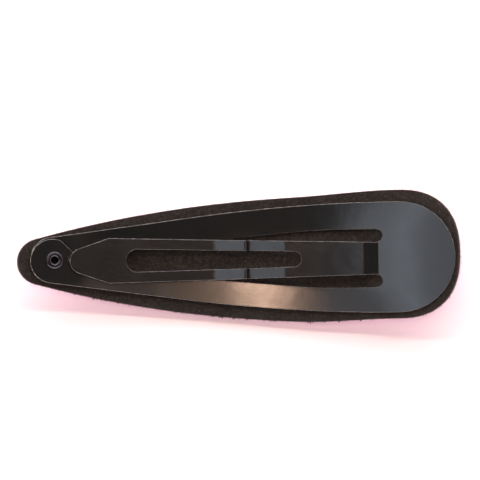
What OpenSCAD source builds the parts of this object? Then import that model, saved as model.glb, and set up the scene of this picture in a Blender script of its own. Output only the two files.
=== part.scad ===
// Snap hair clip on a suede pad, lying on its arched fabric front.
// Millimetres. X runs from the riveted tip to the wide head, Z is up, and the origin is the
// middle of the clip's outline on the plane that it rests on.

/* [Steel frame] */
// Length of the steel, from the tabs at the tip to the end of the head
steel_len = 75; // [62:1:90]
// Thickness of the spring steel
steel_t = 0.5; // [0.35:0.05:0.7]
// Radius of the wide head
head_r = 9.8; // [9:0.1:12]
// Radius of the round tabs that lap over each other at the tip
tip_r = 3.9; // [3.4:0.1:4.6]
// Radius of the long outer edges, as a share of the one arc that would make a whole edge
flank_share = 0.83; // [0.7:0.01:0.95]
// How far each tab's centre lies towards its own leg
tab_shift = 0.17; // [0:0.01:0.4]
// How much the slanting cut takes off each tab's circle
tab_trim = 0.3; // [0.1:0.05:0.6]
// Length over which the upper tab's leg sinks to the level of the head
lap_ramp = 13; // [8:1:18]

/* [Window between the legs] */
// Width of the slot on each side of the tongue's root
side_slot_w = 2.3; // [1.8:0.1:2.6]
// How far the side slots run past the root crease into the head
side_slot_past = 0.7; // [0.3:0.1:0.8]
// Length of the window's parallel part, from the root crease
window_straight = 11; // [6:0.5:16]
// Length over which the window's edge bends from parallel to tapered
window_bend = 9; // [4:0.5:12]
// Width of the window where the legs come together
window_tip_w = 3.2; // [2.4:0.1:4]

/* [Tongue] */
// Width at the root crease
tongue_root_w = 5.7; // [5:0.1:6.4]
// Width at the shoulders of the nose
tongue_w = 8; // [7:0.1:9]
// Distance from the end of the head to the root crease
crease_in = 13.5; // [12:0.5:15]
// Length of the nose, from its shoulders
nose_len = 6.9; // [5.5:0.1:8]
// Radius of the nose
nose_r = 2.3; // [1.8:0.1:2.6]
// How far the tongue and the window lie off the steel's centre line
tongue_y = -0.2; // [-0.4:0.05:0.4]

/* [Slot in the tongue] */
// Width of the slot's end towards the head
slot_root_w = 2.75; // [2:0.05:3.2]
// Width of the slot's end towards the nose
slot_nose_w = 4; // [3:0.1:4.6]
// Whole metal between the root crease and the slot
slot_root_web = 13.6; // [12:0.1:16]
// Whole metal between the nose and the slot
slot_nose_web = 9.9; // [9:0.1:12]

/* [Wave across the tongue] */
// Height of the joggle that lifts the tongue's root over the head
joggle_h = 1.4; // [1:0.05:1.7]
// Height of the tongue at the crisp fold beside the channel
step_h = 1.35; // [1:0.05:1.6]
// Height of the channel's long slope at its top, just past the fold
rise_h = 1.3; // [1:0.05:1.5]
// Height of the channel's floor at its deepest
channel_h = 0.35; // [0.2:0.05:0.6]
// Height of the ridge beside the channel
ridge_h = 1.7; // [1.3:0.05:1.9]

/* [Rivet] */
// Radius of the rolled rim
rivet_r = 1.55; // [1.3:0.05:1.8]
// Radius of the eye
eye_r = 0.62; // [0.4:0.02:0.7]
// Wall of the hollow shank
shank_wall = 0.28; // [0.2:0.02:0.4]
// Height of the rolled rim
rim_h = 0.42; // [0.3:0.02:0.6]
// Thickness of the flat foot under the tabs
foot_t = 0.25; // [0.15:0.05:0.4]

/* [Arch] */
// Radius of the front's arch along the clip
arch_r = 120; // [100:1:200]
// Where the arch is lowest, from the middle of the pad towards the head
arch_mid = -1.5; // [-4:0.5:8]

/* [Suede pad and fabric front] */
// Thickness of the suede
pad_t = 1; // [0.8:0.1:2]
// Thickness of the fabric front
cover_t = 0.6; // [0.4:0.1:1.2]
// How far the pad reaches past the steel at the tip
pad_tip_margin = 2.5; // [1:0.1:4]
// How far the pad reaches past the steel at the head's end
pad_head_margin = 1; // [0.5:0.1:3]
// How far the pad reaches past the steel beside the head
pad_side_margin = 1.6; // [1:0.1:3]
// Radius of the pad's tip, over that of the steel's tabs
pad_tip_extra = 0.2; // [0:0.1:1]
// Fullness of the pad's long edges
pad_fullness = 2.4; // [2:0.05:2.8]
// Squareness of the pad's round end at the head
pad_end_power = 2.4; // [2:0.1:3]
// How far the pad's narrow part lies off the steel's centre line
pad_y = -0.25; // [-0.6:0.05:0.6]
// How much further over the pad's wide end lies
pad_skew = 0.76; // [0:0.02:1]
// Where that drift begins, as a share of the way from the head's middle to the tip's
pad_skew_share = 0.3; // [0.2:0.01:0.8]
// How far the fabric front stays inside the suede's edge
cover_inset = 0.3; // [0.1:0.1:0.6]

/* [Clearances] */
// Glue line between two layers
glue_gap = 0.05; // [0.03:0.01:0.1]
// Air between the two lapped tabs
lap_gap = 0.05; // [0.03:0.01:0.1]
// Air round the rivet
rivet_gap = 0.05; // [0.03:0.01:0.08]
// Air between the tongue and the steel that it lies on
tongue_gap = 0.2; // [0.1:0.05:0.3]
// Air between the tongue's root and the head
crease_gap = 0.1; // [0.06:0.02:0.2]
// Air between the nose and the rivet's rim
nose_gap = 1.5; // [1:0.1:2.5]

/* [Hidden] */
$fn = 96;
// Pieces that curves are drawn in: a bend, a short edge, a small round, a long edge, a large
// round and the whole circle of the arch
bend_n = 4;
short_n = 8;
small_n = 16;
edge_n = 24;
large_n = 48;
arch_n = 720;

// Levels over the front's lowest face, measured square to the arch
pad_level = cover_t + glue_gap;
steel_level = pad_level + pad_t + glue_gap;
lap_lift = steel_t + lap_gap;
seat_h = steel_t + tongue_gap;
nose_h = lap_lift + seat_h;

// Places along the clip
pad_len = steel_len + pad_tip_margin + pad_head_margin;
pad_w = head_r + pad_side_margin;
tip_x = pad_tip_margin + tip_r - pad_len / 2;
head_x = tip_x + steel_len - tip_r - head_r;
crease_x = head_x + head_r - crease_in;
nose_x = tip_x + rivet_r + nose_gap;
tongue_len = crease_x - nose_x;
shoulder_x = nose_x + nose_len;
lap_x = tip_x + 2 * tip_r;
ramp_x = lap_x + lap_ramp;
window_w = tongue_root_w + 2 * side_slot_w;
shank_r = eye_r + shank_wall;
foot_r = rivet_r - rivet_gap;

// The tongue's underside, row by row from the root crease to the nose: share of the tongue's
// length, height over the frame's underside, and half the bend there as a share of the length
STATION = 0;
HEIGHT = 1;
BEND = 2;
wave = [
    [0,     0,         0],
    [0.049, joggle_h,  0.0065],
    [0.301, step_h,    0.0045],
    [0.311, rise_h,    0.003],
    [0.416, channel_h, 0.0045],
    [0.43,  ridge_h,   0.0055],
    [0.536, seat_h,    0.022],
    [0.8,   nose_h,    0.055],
    [1,     nose_h,    0],
];
run_step = 3;
lean_step = 0.01;

// A block that holds the whole clip with room to spare, for cutting sheets out of
spare = 1;
arch_rise = arch_r - sqrt(pow(arch_r, 2) - pow(pad_len / 2 + abs(arch_mid), 2));
block_h = arch_rise + steel_level + max(step_h, ridge_h, nose_h) + 2 * steel_t + rim_h + spare;
block_w = 4 * pad_w;

// Curves
function lerp(a, b, t) = a + (b - a) * t;
function smooth(t) = let (u = max(0, min(1, t))) u * u * (3 - 2 * u);
function steps(a, b, n) = [for (i = [0 : n]) lerp(a, b, i / n)];
function inner_steps(a, b, n) = [for (i = [1 : 1 : n - 1]) lerp(a, b, i / n)];
function arc(c, r, a0, a1, n) = [for (a = steps(a0, a1, n)) c + r * [cos(a), sin(a)]];
function reversed(list) = [for (i = [len(list) - 1 : -1 : 0]) list[i]];
function mirrored(points) = [for (p = points) [p.x, -p.y]];
function shifted(points, dy) = [for (p = points) [p.x, p.y + dy]];

// Height of a level of the arch over the plane that the clip rests on, and its slope there
function arch_z(x, level) = arch_r - sqrt(pow(arch_r - level, 2) - pow(x - arch_mid, 2));
function arch_angle(x, level) = asin((x - arch_mid) / (arch_r - level));

// Outer edge of one leg, drawn on the side where Y is positive: a straight line off the tab's
// circle, then one long arc that ends level at the middle of the head
reach = head_x - tip_x;
rise = head_r - tab_shift;
flank_r = flank_share * (pow(reach, 2) + pow(rise, 2) - pow(tip_r, 2)) / (2 * (rise - tip_r));
flank_drop = flank_r - head_r;
flank_far = norm([reach, flank_drop + tab_shift]);
flank_angle = atan2(reach, flank_drop + tab_shift) - acos((flank_r - tip_r) / flank_far);
flank_start = head_x - flank_r * sin(flank_angle);
flank_touch = tip_x - tip_r * sin(flank_angle);
function flank_y(x) = x < flank_start
    ? tab_shift + tip_r / cos(flank_angle) + (x - tip_x) * tan(flank_angle)
    : sqrt(pow(flank_r, 2) - pow(head_x - x, 2)) - flank_drop;
function flank(x0, x1, n) = [for (x = inner_steps(x0, x1, n)) [x, flank_y(x)]];

// Inner edge of one leg: parallel to the tongue's root, a bend, then tapered towards the tip.
// side is 1 for the upper leg and -1 for the lower one, because the window isn't quite central.
window_taper = (window_w - window_tip_w) / 2 / (crease_x - window_straight - lap_x);
function window_fall(past) = let (half = window_bend / 2)
    window_taper * (abs(past) < half ? pow(past + half, 2) / (4 * half) : max(0, past));
function inner_y(x, side) = window_w / 2 + side * tongue_y - window_fall(crease_x - window_straight - x);
function inner_edge(xs, side) = [for (x = xs) [x, inner_y(x, side)]];

// The tab's slanting cut runs at 45 degrees from the leg's inner edge to the tab's circle
cut_r = tip_r - tab_trim;
cut_half = acos(cut_r / tip_r);
function corner_x(side) = tip_x + cut_r * sqrt(2) + inner_y(lap_x, side) - tab_shift;
function tab_edge(side) = concat(
    [[corner_x(side), inner_y(lap_x, side)]],
    arc([tip_x, tab_shift], tip_r, -45 - cut_half, flank_angle - 270, large_n));

// Round end of the slot beside the tongue's root, from the leg to the root crease
slot_r = side_slot_w / 2;
slot_x = crease_x + side_slot_past - slot_r;
slot_turn = acos((crease_x - slot_x) / slot_r);
function slot_end(side) =
    arc([slot_x, window_w / 2 - slot_r + side * tongue_y], slot_r, 90, -slot_turn, small_n);

// Plan of the flat steel: the upper leg with its tab, the head, and the lower leg up to its ramp
function plate_plan() = concat(
    inner_edge(reversed(inner_steps(lap_x, slot_x, edge_n)), 1),
    tab_edge(1),
    flank(flank_touch, head_x, edge_n),
    arc([head_x, 0], head_r, 90, -90, large_n),
    mirrored(concat(
        reversed(flank(ramp_x, head_x, edge_n)),
        [[ramp_x, flank_y(ramp_x)]],
        inner_edge(concat([ramp_x], inner_steps(ramp_x, slot_x, edge_n)), -1),
        slot_end(-1))),
    reversed(slot_end(1)));

// Plan of the lower leg's raised end, up to the foot of its ramp
function lap_plan() = mirrored(concat(
    inner_edge(concat([ramp_x], reversed(inner_steps(lap_x, ramp_x, short_n))), -1),
    tab_edge(-1),
    flank(flank_touch, ramp_x, short_n),
    [[ramp_x, flank_y(ramp_x)]]));

// Plan of the tongue, and of the slot in it
nose_fall = atan2(tongue_w / 2 - nose_r, nose_len - nose_r);
function tongue_edge() = concat(
    arc([nose_x + nose_r, 0], nose_r, 180, 90 + nose_fall, small_n),
    [[shoulder_x, tongue_w / 2], [crease_x - crease_gap, tongue_root_w / 2]]);
function tongue_plan() = shifted(concat(tongue_edge(), reversed(mirrored(tongue_edge()))), tongue_y);
function tongue_slot() = let (a = slot_nose_w / 2, b = slot_root_w / 2) shifted(concat(
    arc([nose_x + slot_nose_web + a, 0], a, 270, 90, small_n),
    arc([crease_x - slot_root_web - b, 0], b, 90, -90, small_n)), tongue_y);

// Height of the tongue's underside over the frame's at a distance from the root crease. The tongue
// isn't glued down, so it runs straight from row to row while the frame's arch sags under it, and
// a parabola of the row's own length lies across each bend
function row_d(i) = wave[i][STATION] * tongue_len;
function row_b(i) = wave[i][BEND] * tongue_len;
function row_slope(i) = (wave[i + 1][HEIGHT] - wave[i][HEIGHT]) / (row_d(i + 1) - row_d(i));
function row_bow(i) = (row_d(i + 1) - row_d(i)) / (2 * arch_r);
function row_turn(i) = row_slope(i) - row_slope(i - 1) + row_bow(i) + row_bow(i - 1);
function run_of(d, i = 0) = i == len(wave) - 2 || d < row_d(i + 1) ? i : run_of(d, i + 1);
function bend_lift(d, i) = let (b = row_b(i), off = abs(d - row_d(i)))
    off < b ? row_turn(i) * pow(b - off, 2) / (4 * b) : 0;
function sag(d, i) = max(0, (d - row_d(i)) * (row_d(i + 1) - d)) / (2 * arch_r);
function wave_h(d) = let (i = run_of(d))
    wave[i][HEIGHT] + row_slope(i) * (d - row_d(i)) + sag(d, i) + bend_lift(d, i) + bend_lift(d, i + 1);
function wave_lean(d) = (wave_h(d + lean_step) - wave_h(d - lean_step)) / (2 * lean_step);

// Distances at which the wave is drawn: some across each bend and a few along each run
function bend_stations(i) = let (b = row_b(i))
    b > 0 ? steps(row_d(i) - b, row_d(i) + b, bend_n) : [row_d(i)];
function run_stations(i) = let (a = row_d(i) + row_b(i), b = row_d(i + 1) - row_b(i + 1))
    inner_steps(a, b, ceil((b - a) / run_step));
wave_ds = [for (i = [0 : len(wave) - 1])
    each concat(bend_stations(i), i < len(wave) - 1 ? run_stations(i) : [])];

// Side profile of the tongue: its underside, then its top, which keeps the sheet's thickness
function tongue_profile() = concat(
    [for (d = wave_ds) [crease_x - d, arch_z(crease_x - d, steel_level + wave_h(d))]],
    [for (d = reversed(wave_ds)) let (t = steel_t * norm([1, wave_lean(d)]))
        [crease_x - d, arch_z(crease_x - d, steel_level + wave_h(d) + t)]]);

// Side profile of the lower leg's end, which climbs over the upper leg's tab
lap_xs = steps(tip_x - tip_r - spare, ramp_x, edge_n);
function lap_h(x) = lap_lift * smooth((ramp_x - x) / lap_ramp);
function lap_profile() = concat(
    [for (x = lap_xs) [x, arch_z(x, steel_level + lap_h(x))]],
    [for (x = reversed(lap_xs)) [x, arch_z(x, steel_level + lap_h(x) + steel_t)]]);

// One long edge of the pad, from its tip round to the end at the head, all taken in by an inset:
// a circle at the tip, a power curve along the side and a squarish round end
pad_tip_r = tip_r + pad_tip_extra;
pad_tip_x = pad_tip_r - pad_len / 2;
function pad_edge(inset) = let (
        r = pad_tip_r - inset,
        w = pad_w - inset,
        end = pad_len / 2 - inset - head_x,
        lean = atan((w - r) * pad_fullness / (head_x - pad_tip_x)),
        x0 = pad_tip_x - r * sin(lean),
        w0 = r * cos(lean),
        square = 2 / pad_end_power)
    concat(
        arc([pad_tip_x, 0], r, 180, 90 + lean, small_n),
        [for (x = inner_steps(x0, head_x, edge_n))
            [x, w - (w - w0) * pow((head_x - x) / (head_x - x0), pad_fullness)]],
        [for (a = steps(90, 0, edge_n))
            [head_x + end * pow(cos(a), square), w * pow(sin(a), square)]]);

// The pad's middle line drifts to one side towards the head, so its outline is a little lopsided
skew_x = lerp(head_x, tip_x, pad_skew_share);
function pad_mid(x) = pad_y + pad_skew * smooth((x - skew_x) / (head_x - skew_x));
function pad_plan(inset) = let (edge = pad_edge(inset), far = [for (i = [1 : len(edge) - 2]) edge[i]])
    [for (p = concat(edge, reversed(mirrored(far)))) [p.x, p.y + pad_mid(p.x)]];

// The middle of the outline's width, which the whole clip is centred on
pad_ys = [for (p = pad_plan(0)) p.y];
mid_y = (max(pad_ys) + min(pad_ys)) / 2;

module centred() {
    translate([0, -mid_y, 0]) children();
}

// A plan carried straight up through the whole height of the clip
module plan_block(plan) {
    translate([0, 0, -spare]) linear_extrude(height = block_h + spare) polygon(plan);
}

// One layer of the arch, between a level and the next, cut to a plan
module arched_layer(level, t, plan) {
    intersection() {
        plan_block(plan);
        translate([arch_mid, 0, arch_r]) rotate([90, 0, 0]) difference() {
            cylinder(r = arch_r - level, h = block_w, center = true, $fn = arch_n);
            cylinder(r = arch_r - level - t, h = block_w + spare, center = true, $fn = arch_n);
        }
    }
}

// A sheet with its own side profile, cut to a plan
module bent_sheet(profile, plan) {
    intersection() {
        plan_block(plan);
        rotate([90, 0, 0]) linear_extrude(height = block_w, center = true) polygon(profile);
    }
}

// Stands its children square on the steel's underside at the tip
module at_tip() {
    translate([tip_x, 0, arch_z(tip_x, steel_level)])
        rotate([0, -arch_angle(tip_x, steel_level), 0]) children();
}

module front_cover() {
    color([0.92, 0.55, 0.67]) centred() arched_layer(0, cover_t, pad_plan(cover_inset));
}

// The rivet's foot sinks into a round recess in the suede
module suede_pad() {
    depth = foot_t + 2 * rivet_gap;
    color([0.16, 0.13, 0.12]) centred() difference() {
        arched_layer(pad_level, pad_t, pad_plan(0));
        at_tip() translate([0, 0, -depth]) cylinder(r = foot_r + 2 * rivet_gap, h = depth + spare);
    }
}

module spring_frame() {
    color([0.12, 0.12, 0.13]) centred() difference() {
        union() {
            arched_layer(steel_level, steel_t, plate_plan());
            bent_sheet(lap_profile(), lap_plan());
        }
        at_tip() translate([0, 0, -spare])
            cylinder(r = shank_r + rivet_gap, h = lap_lift + steel_t + 2 * spare);
    }
}

module tongue() {
    color([0.13, 0.13, 0.14]) centred() difference() {
        bent_sheet(tongue_profile(), tongue_plan());
        plan_block(tongue_slot());
    }
}

// A hollow shank with a flat foot below the tabs and a rolled rim above them
module rivet() {
    foot = -rivet_gap - foot_t;
    top = lap_lift + steel_t + rivet_gap;
    crown = [(rivet_r + eye_r) / 2, top];
    rim = [(rivet_r - eye_r) / 2, rim_h];
    color([0.3, 0.3, 0.32]) centred() at_tip() rotate_extrude() polygon(concat(
        [[eye_r, foot], [foot_r, foot], [foot_r, -rivet_gap], [shank_r, -rivet_gap], [shank_r, top]],
        [for (a = steps(0, 180, small_n)) [crown.x + rim.x * cos(a), crown.y + rim.y * sin(a)]]));
}

front_cover();
suede_pad();
spring_frame();
rivet();
tongue();
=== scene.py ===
"""Looks of a long snap hair clip that lies on its arched fabric front.

Lengths are in millimetres until a mesh is made, and a mesh is in metres. X runs from the riveted
tip to the wide head, Y across the clip and Z up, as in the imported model.
"""

import logging
from dataclasses import dataclass, field
from enum import Enum
from typing import Callable, Union

import bpy
import numpy as np
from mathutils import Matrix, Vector


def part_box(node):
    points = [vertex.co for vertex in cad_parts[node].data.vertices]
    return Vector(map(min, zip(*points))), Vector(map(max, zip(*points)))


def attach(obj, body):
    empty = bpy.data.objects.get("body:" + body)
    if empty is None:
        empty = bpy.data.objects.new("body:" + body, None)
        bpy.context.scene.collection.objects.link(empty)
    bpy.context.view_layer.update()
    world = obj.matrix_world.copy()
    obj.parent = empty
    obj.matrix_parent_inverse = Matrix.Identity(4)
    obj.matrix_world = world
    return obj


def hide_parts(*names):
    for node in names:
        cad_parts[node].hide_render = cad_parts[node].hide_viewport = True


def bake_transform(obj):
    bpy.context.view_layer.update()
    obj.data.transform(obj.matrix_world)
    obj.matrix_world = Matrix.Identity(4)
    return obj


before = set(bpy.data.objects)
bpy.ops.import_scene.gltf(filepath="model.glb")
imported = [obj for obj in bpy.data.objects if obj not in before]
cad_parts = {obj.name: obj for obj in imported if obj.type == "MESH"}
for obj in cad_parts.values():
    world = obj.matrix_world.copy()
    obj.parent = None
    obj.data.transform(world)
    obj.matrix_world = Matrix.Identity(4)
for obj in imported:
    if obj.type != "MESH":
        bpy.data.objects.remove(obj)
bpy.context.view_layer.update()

LOG = logging.getLogger("hair_clip")
MM = 0.001
JOIN = 1e-5  # points closer than this, in millimetres, are one point
STEP = 0.01  # distance, in millimetres, over which a slope is measured
TINY = 1e-12  # keeps a division from meeting zero
FLIP = np.array([1.0, -1.0])  # turns a line in plan over, from the upper side to the lower
MIX_START, MIX_END, MIXED = 6, 7, 2  # the colour sockets of a Mix node, by number
Pair = tuple[float, float]
Triple = tuple[float, float, float]
Number = Union[float, "Wire"]
Height = Callable[[np.ndarray, np.ndarray], np.ndarray]


# Curves


def smooth(share: np.ndarray) -> np.ndarray:
    """Eases a share from 0 to 1: three times its square less twice its cube."""
    share = np.clip(share, 0.0, 1.0)
    return share * share * (3 - 2 * share)


def arc(centre: Pair, radius: float, start: float, end: float, count: int) -> np.ndarray:
    """Points on part of a circle: its centre plus its radius times the angle's cosine and sine.

    Args:
        centre: the circle's middle.
        radius: its radius.
        start: angle of the first point, in degrees.
        end: angle of the last point, in degrees.
        count: how many points.

    Returns:
        One row of x and y for each point.
    """
    turn = np.radians(np.linspace(start, end, count))
    return np.asarray(centre) + radius * np.stack([np.cos(turn), np.sin(turn)], axis=1)


def unit(ways: np.ndarray) -> np.ndarray:
    """Directions made one long: each over the root of the sum of its squares."""
    return ways / np.maximum(np.linalg.norm(ways, axis=-1, keepdims=True), TINY)


def chain(*runs: np.ndarray) -> np.ndarray:
    """Joins runs of points end to end, each without the point it shares with the one before."""
    return np.concatenate([runs[0]] + [run[1:] for run in runs[1:]])


def straight(start: np.ndarray, end: np.ndarray, count: int) -> np.ndarray:
    """Points spread evenly from one point to another, both kept."""
    share = np.linspace(0.0, 1.0, count)[:, None]
    return (1 - share) * np.asarray(start) + share * np.asarray(end)


def ruled(start: np.ndarray, end: np.ndarray, count: int) -> np.ndarray:
    """Grid with a straight row of points from each point of one line to that of another."""
    share = np.linspace(0, 1, count)[None, :, None]
    return start[:, None] * (1 - share) + end[:, None] * share


def respaced(points: np.ndarray, count: int) -> np.ndarray:
    """The same line with another number of points, spread evenly along its length.

    Args:
        points: one row of x and y for each point.
        count: how many points the new line has.

    Returns:
        The new points, with both ends kept.
    """
    run = np.concatenate([[0.0], np.cumsum(np.linalg.norm(np.diff(points, axis=0), axis=1))])
    at = np.linspace(0.0, run[-1], count)
    return np.stack([np.interp(at, run, points[:, 0]), np.interp(at, run, points[:, 1])], axis=1)


@dataclass(frozen=True)
class Rim:
    """An edge of a flat sheet, followed with the metal or cloth on its right.

    Attributes:
        points: x and y of each station.
        closed: whether the last station meets the first.
        first: direction away from the sheet at the first station, where another piece sets it.
        last: the same at the last station.
    """

    points: np.ndarray
    closed: bool = False
    first: np.ndarray | None = None
    last: np.ndarray | None = None

    def outward(self) -> np.ndarray:
        """Direction away from the sheet at each station, long enough to keep an inset's width.

        Each side's own direction is a quarter turn left of the way that the edge runs. A station
        takes the sum of its two sides' directions, over one plus their scalar product.

        Returns:
            One row of x and y for each station.
        """
        ends = self.points[:1] if self.closed else self.points[-1:] * 2 - self.points[-2:-1]
        way = np.diff(np.concatenate([self.points, ends]), axis=0)
        side = unit(np.stack([-way[:, 1], way[:, 0]], axis=1))
        before = np.roll(side, 1, axis=0)
        if not self.closed:
            before[0] = side[0]
            side[-1] = before[-1]
        out = (before + side) / (1 + (before * side).sum(axis=1, keepdims=True))
        if self.first is not None:
            out[0] = self.first
        if self.last is not None:
            out[-1] = self.last
        return out

    def inset(self, depth: float) -> np.ndarray:
        """The edge moved into the sheet by a depth."""
        return self.points - depth * self.outward()


# Meshes


@dataclass(frozen=True)
class Patch:
    """A grid of points of a sheet that is still flat.

    Attributes:
        plan: rows, columns and 2: each point's x and y.
        depth: how far each point lies under the sheet's top face.
        facing: rows, columns and 3: the way that the surface faces, with its last number up.
        lap: 1 where the point belongs to the leg whose end laps over the other, else 0.
        worn: how far the finish is worn there, from 0 to 1.
        looped: whether the last row of the grid meets its first.
    """

    plan: np.ndarray
    depth: np.ndarray
    facing: np.ndarray
    lap: np.ndarray
    worn: np.ndarray
    looped: bool = False


def quads(rows: int, columns: int, start: int, looped: bool) -> np.ndarray:
    """Corner numbers of the cells of a grid whose points are numbered row by row.

    Args:
        rows: rows of points.
        columns: points in a row.
        start: number of the grid's first point.
        looped: whether the last row meets the first.

    Returns:
        Four corner numbers for each cell.
    """
    number = start + np.arange(rows * columns).reshape(rows, columns)
    if looped:
        number = np.concatenate([number, number[:1]])
    corners = (number[:-1, :-1], number[1:, :-1], number[1:, 1:], number[:-1, 1:])
    return np.stack([corner.ravel() for corner in corners], axis=1)


def piece(
    name: str, points: np.ndarray, facing: np.ndarray, cells: np.ndarray, **fields: np.ndarray
) -> bpy.types.Object:
    """Makes a smooth-shaded object from points in millimetres, joining those that coincide.

    Each cell is turned to face the way that its points do, and a cell that has collapsed at a
    pole keeps the three corners that it has left.

    Args:
        name: the object's name.
        points: one row of x, y and z for each point.
        facing: the way that the surface faces at each point.
        cells: four point numbers for each cell.
        fields: values to keep at the points, by name.

    Returns:
        The new object, linked to the scene.
    """
    grain = np.round(points / JOIN).astype(np.int64)
    _, first, joined = np.unique(grain, axis=0, return_index=True, return_inverse=True)
    joined = joined.reshape(-1)
    facing_sum = np.zeros((len(first), 3))
    np.add.at(facing_sum, joined, facing)
    facing = unit(facing_sum)
    points = points[first] * MM
    cells = joined[cells]

    a, b, c, d = (points[cells[:, corner]] for corner in range(4))
    across = np.cross(c - a, d - b)
    wrong = (across * facing[cells].sum(axis=1)).sum(axis=1) < 0
    cells[wrong] = cells[wrong, ::-1]
    kept = cells != np.roll(cells, -1, axis=1)
    whole = kept.sum(axis=1) > 2
    cells, kept = cells[whole], kept[whole]
    sides = kept.sum(axis=1)

    mesh = bpy.data.meshes.new(name)
    mesh.vertices.add(len(points))
    mesh.vertices.foreach_set("co", points.astype(np.float32).ravel())
    mesh.loops.add(int(sides.sum()))
    mesh.loops.foreach_set("vertex_index", cells[kept].astype(np.int32))
    mesh.polygons.add(len(cells))
    starts = np.concatenate([[0], np.cumsum(sides)[:-1]])
    mesh.polygons.foreach_set("loop_start", starts.astype(np.int32))
    mesh.polygons.foreach_set("use_smooth", np.ones(len(cells), dtype=bool))
    for label, values in fields.items():
        kept_values = mesh.attributes.new(label, "FLOAT", "POINT").data
        kept_values.foreach_set("value", values[first].astype(np.float32))
    mesh.update(calc_edges=True)
    mesh.validate()
    mesh.normals_split_custom_set_from_vertices(facing)
    made = bpy.data.objects.new(name, mesh)
    bpy.context.scene.collection.objects.link(made)
    LOG.info("%s: %d points, %d cells", name, len(points), len(cells))
    return made


@dataclass
class Sheet:
    """A thin sheet that is cut out flat, gets rounded edges, and is then laid on a curved surface.

    Attributes:
        thickness: from its top face to its underside.
        rounding: radius of its edges.
        height: height of the laid sheet at places in plan, with 1 or 0 for the lapping leg.
        held_at: depth of the face that keeps its places in plan, such as 0 for the top face.
        round_steps: pieces in each rounding.
        patches: what has been cut so far.
    """

    thickness: float
    rounding: float
    height: Height
    held_at: float = 0.0
    round_steps: int = 4
    patches: list[Patch] = field(default_factory=list)

    def face(self, plan: np.ndarray, lap: np.ndarray | float = 0.0, looped: bool = False) -> None:
        """Adds a stretch of the top face and of the underside.

        Args:
            plan: rows, columns and 2: the places in plan.
            lap: 1 on the lapping leg, else 0.
            looped: whether the last row meets the first.
        """
        flat = np.zeros(plan.shape[:2])
        for depth, up in ((0.0, 1.0), (self.thickness, -1.0)):
            facing = np.stack([flat, flat, flat + up], axis=-1)
            self.patches.append(Patch(plan, flat + depth, facing, flat + lap, flat, looped))

    def edge(self, rim: Rim, lap: np.ndarray | float = 0.0) -> None:
        """Adds the wall along a rim, with a quarter round at its top and one at its foot.

        At an angle from straight up, a point stands out from the inset rim by the rounding times
        the angle's sine, and lies under the face by the rounding less that times its cosine.

        Args:
            rim: the edge to follow.
            lap: 1 at the stations on the lapping leg, else 0.
        """
        turn = np.radians(np.linspace(0, 90, self.round_steps + 1))
        turns = np.concatenate([turn, np.pi - turn[::-1]])
        over = np.arange(len(turns)) <= self.round_steps
        drop = self.rounding * (1 - np.cos(turns))
        depth = np.where(over, drop, self.thickness - self.rounding * (1 + np.cos(turns)))
        out = rim.outward()
        shape = (len(out), len(turns))
        reach = self.rounding * (np.sin(turns) - 1)
        plan = rim.points[:, None] + out[:, None] * reach[None, :, None]
        sideways = unit(out)[:, None] * np.sin(turns)[None, :, None]
        upwards = np.broadcast_to(np.cos(turns), shape)[..., None]
        facing = np.concatenate([sideways, upwards], axis=-1)
        rubbed = np.where(over, np.sin(turns) ** 2, 0.0)
        laps = np.broadcast_to(np.asarray(lap, dtype=float).reshape(-1, 1), shape)
        depth, rubbed = np.broadcast_to(depth, shape), np.broadcast_to(rubbed, shape)
        self.patches.append(Patch(plan, depth, facing, laps, rubbed, rim.closed))

    def laid(self, patch: Patch) -> tuple[np.ndarray, np.ndarray]:
        """Lays a patch on the curved surface.

        The surface's own directions come from its slopes along X and Y. A point lies on the held
        face's height, moved along the upward direction by the difference of the depths.

        Args:
            patch: the patch to lay.

        Returns:
            Points and facing directions, one row for each.
        """
        plan = patch.plan.reshape(-1, 2)
        lap = patch.lap.reshape(-1)
        high = self.height(plan, lap)
        slope_x, slope_y = (
            (self.height(plan + move, lap) - self.height(plan - move, lap)) / (2 * STEP)
            for move in (np.array([STEP, 0.0]), np.array([0.0, STEP]))
        )
        flat = np.ones_like(slope_x)
        up = unit(np.stack([-slope_x, -slope_y, flat], axis=1))
        along = unit(np.stack([flat, 0 * flat, slope_x], axis=1))
        across = np.cross(up, along)
        rise = (self.held_at - patch.depth.reshape(-1))[:, None]
        points = np.column_stack([plan, high]) + rise * up
        turned = patch.facing.reshape(-1, 3)
        return points, turned[:, :1] * along + turned[:, 1:2] * across + turned[:, 2:] * up

    def build(self, name: str) -> bpy.types.Object:
        """Makes one object of everything that was cut.

        Args:
            name: the object's name.

        Returns:
            The object.
        """
        points, facing, cells, worn, start = [], [], [], [], 0
        for patch in self.patches:
            place, way = self.laid(patch)
            rows, columns = patch.plan.shape[:2]
            points.append(place)
            facing.append(way)
            worn.append(patch.worn.reshape(-1))
            cells.append(quads(rows, columns, start, patch.looped))
            start += rows * columns
        joined = (np.concatenate(part) for part in (points, facing, cells))
        return piece(name, *joined, worn=np.concatenate(worn))


# Shared measures of the clip


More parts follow.
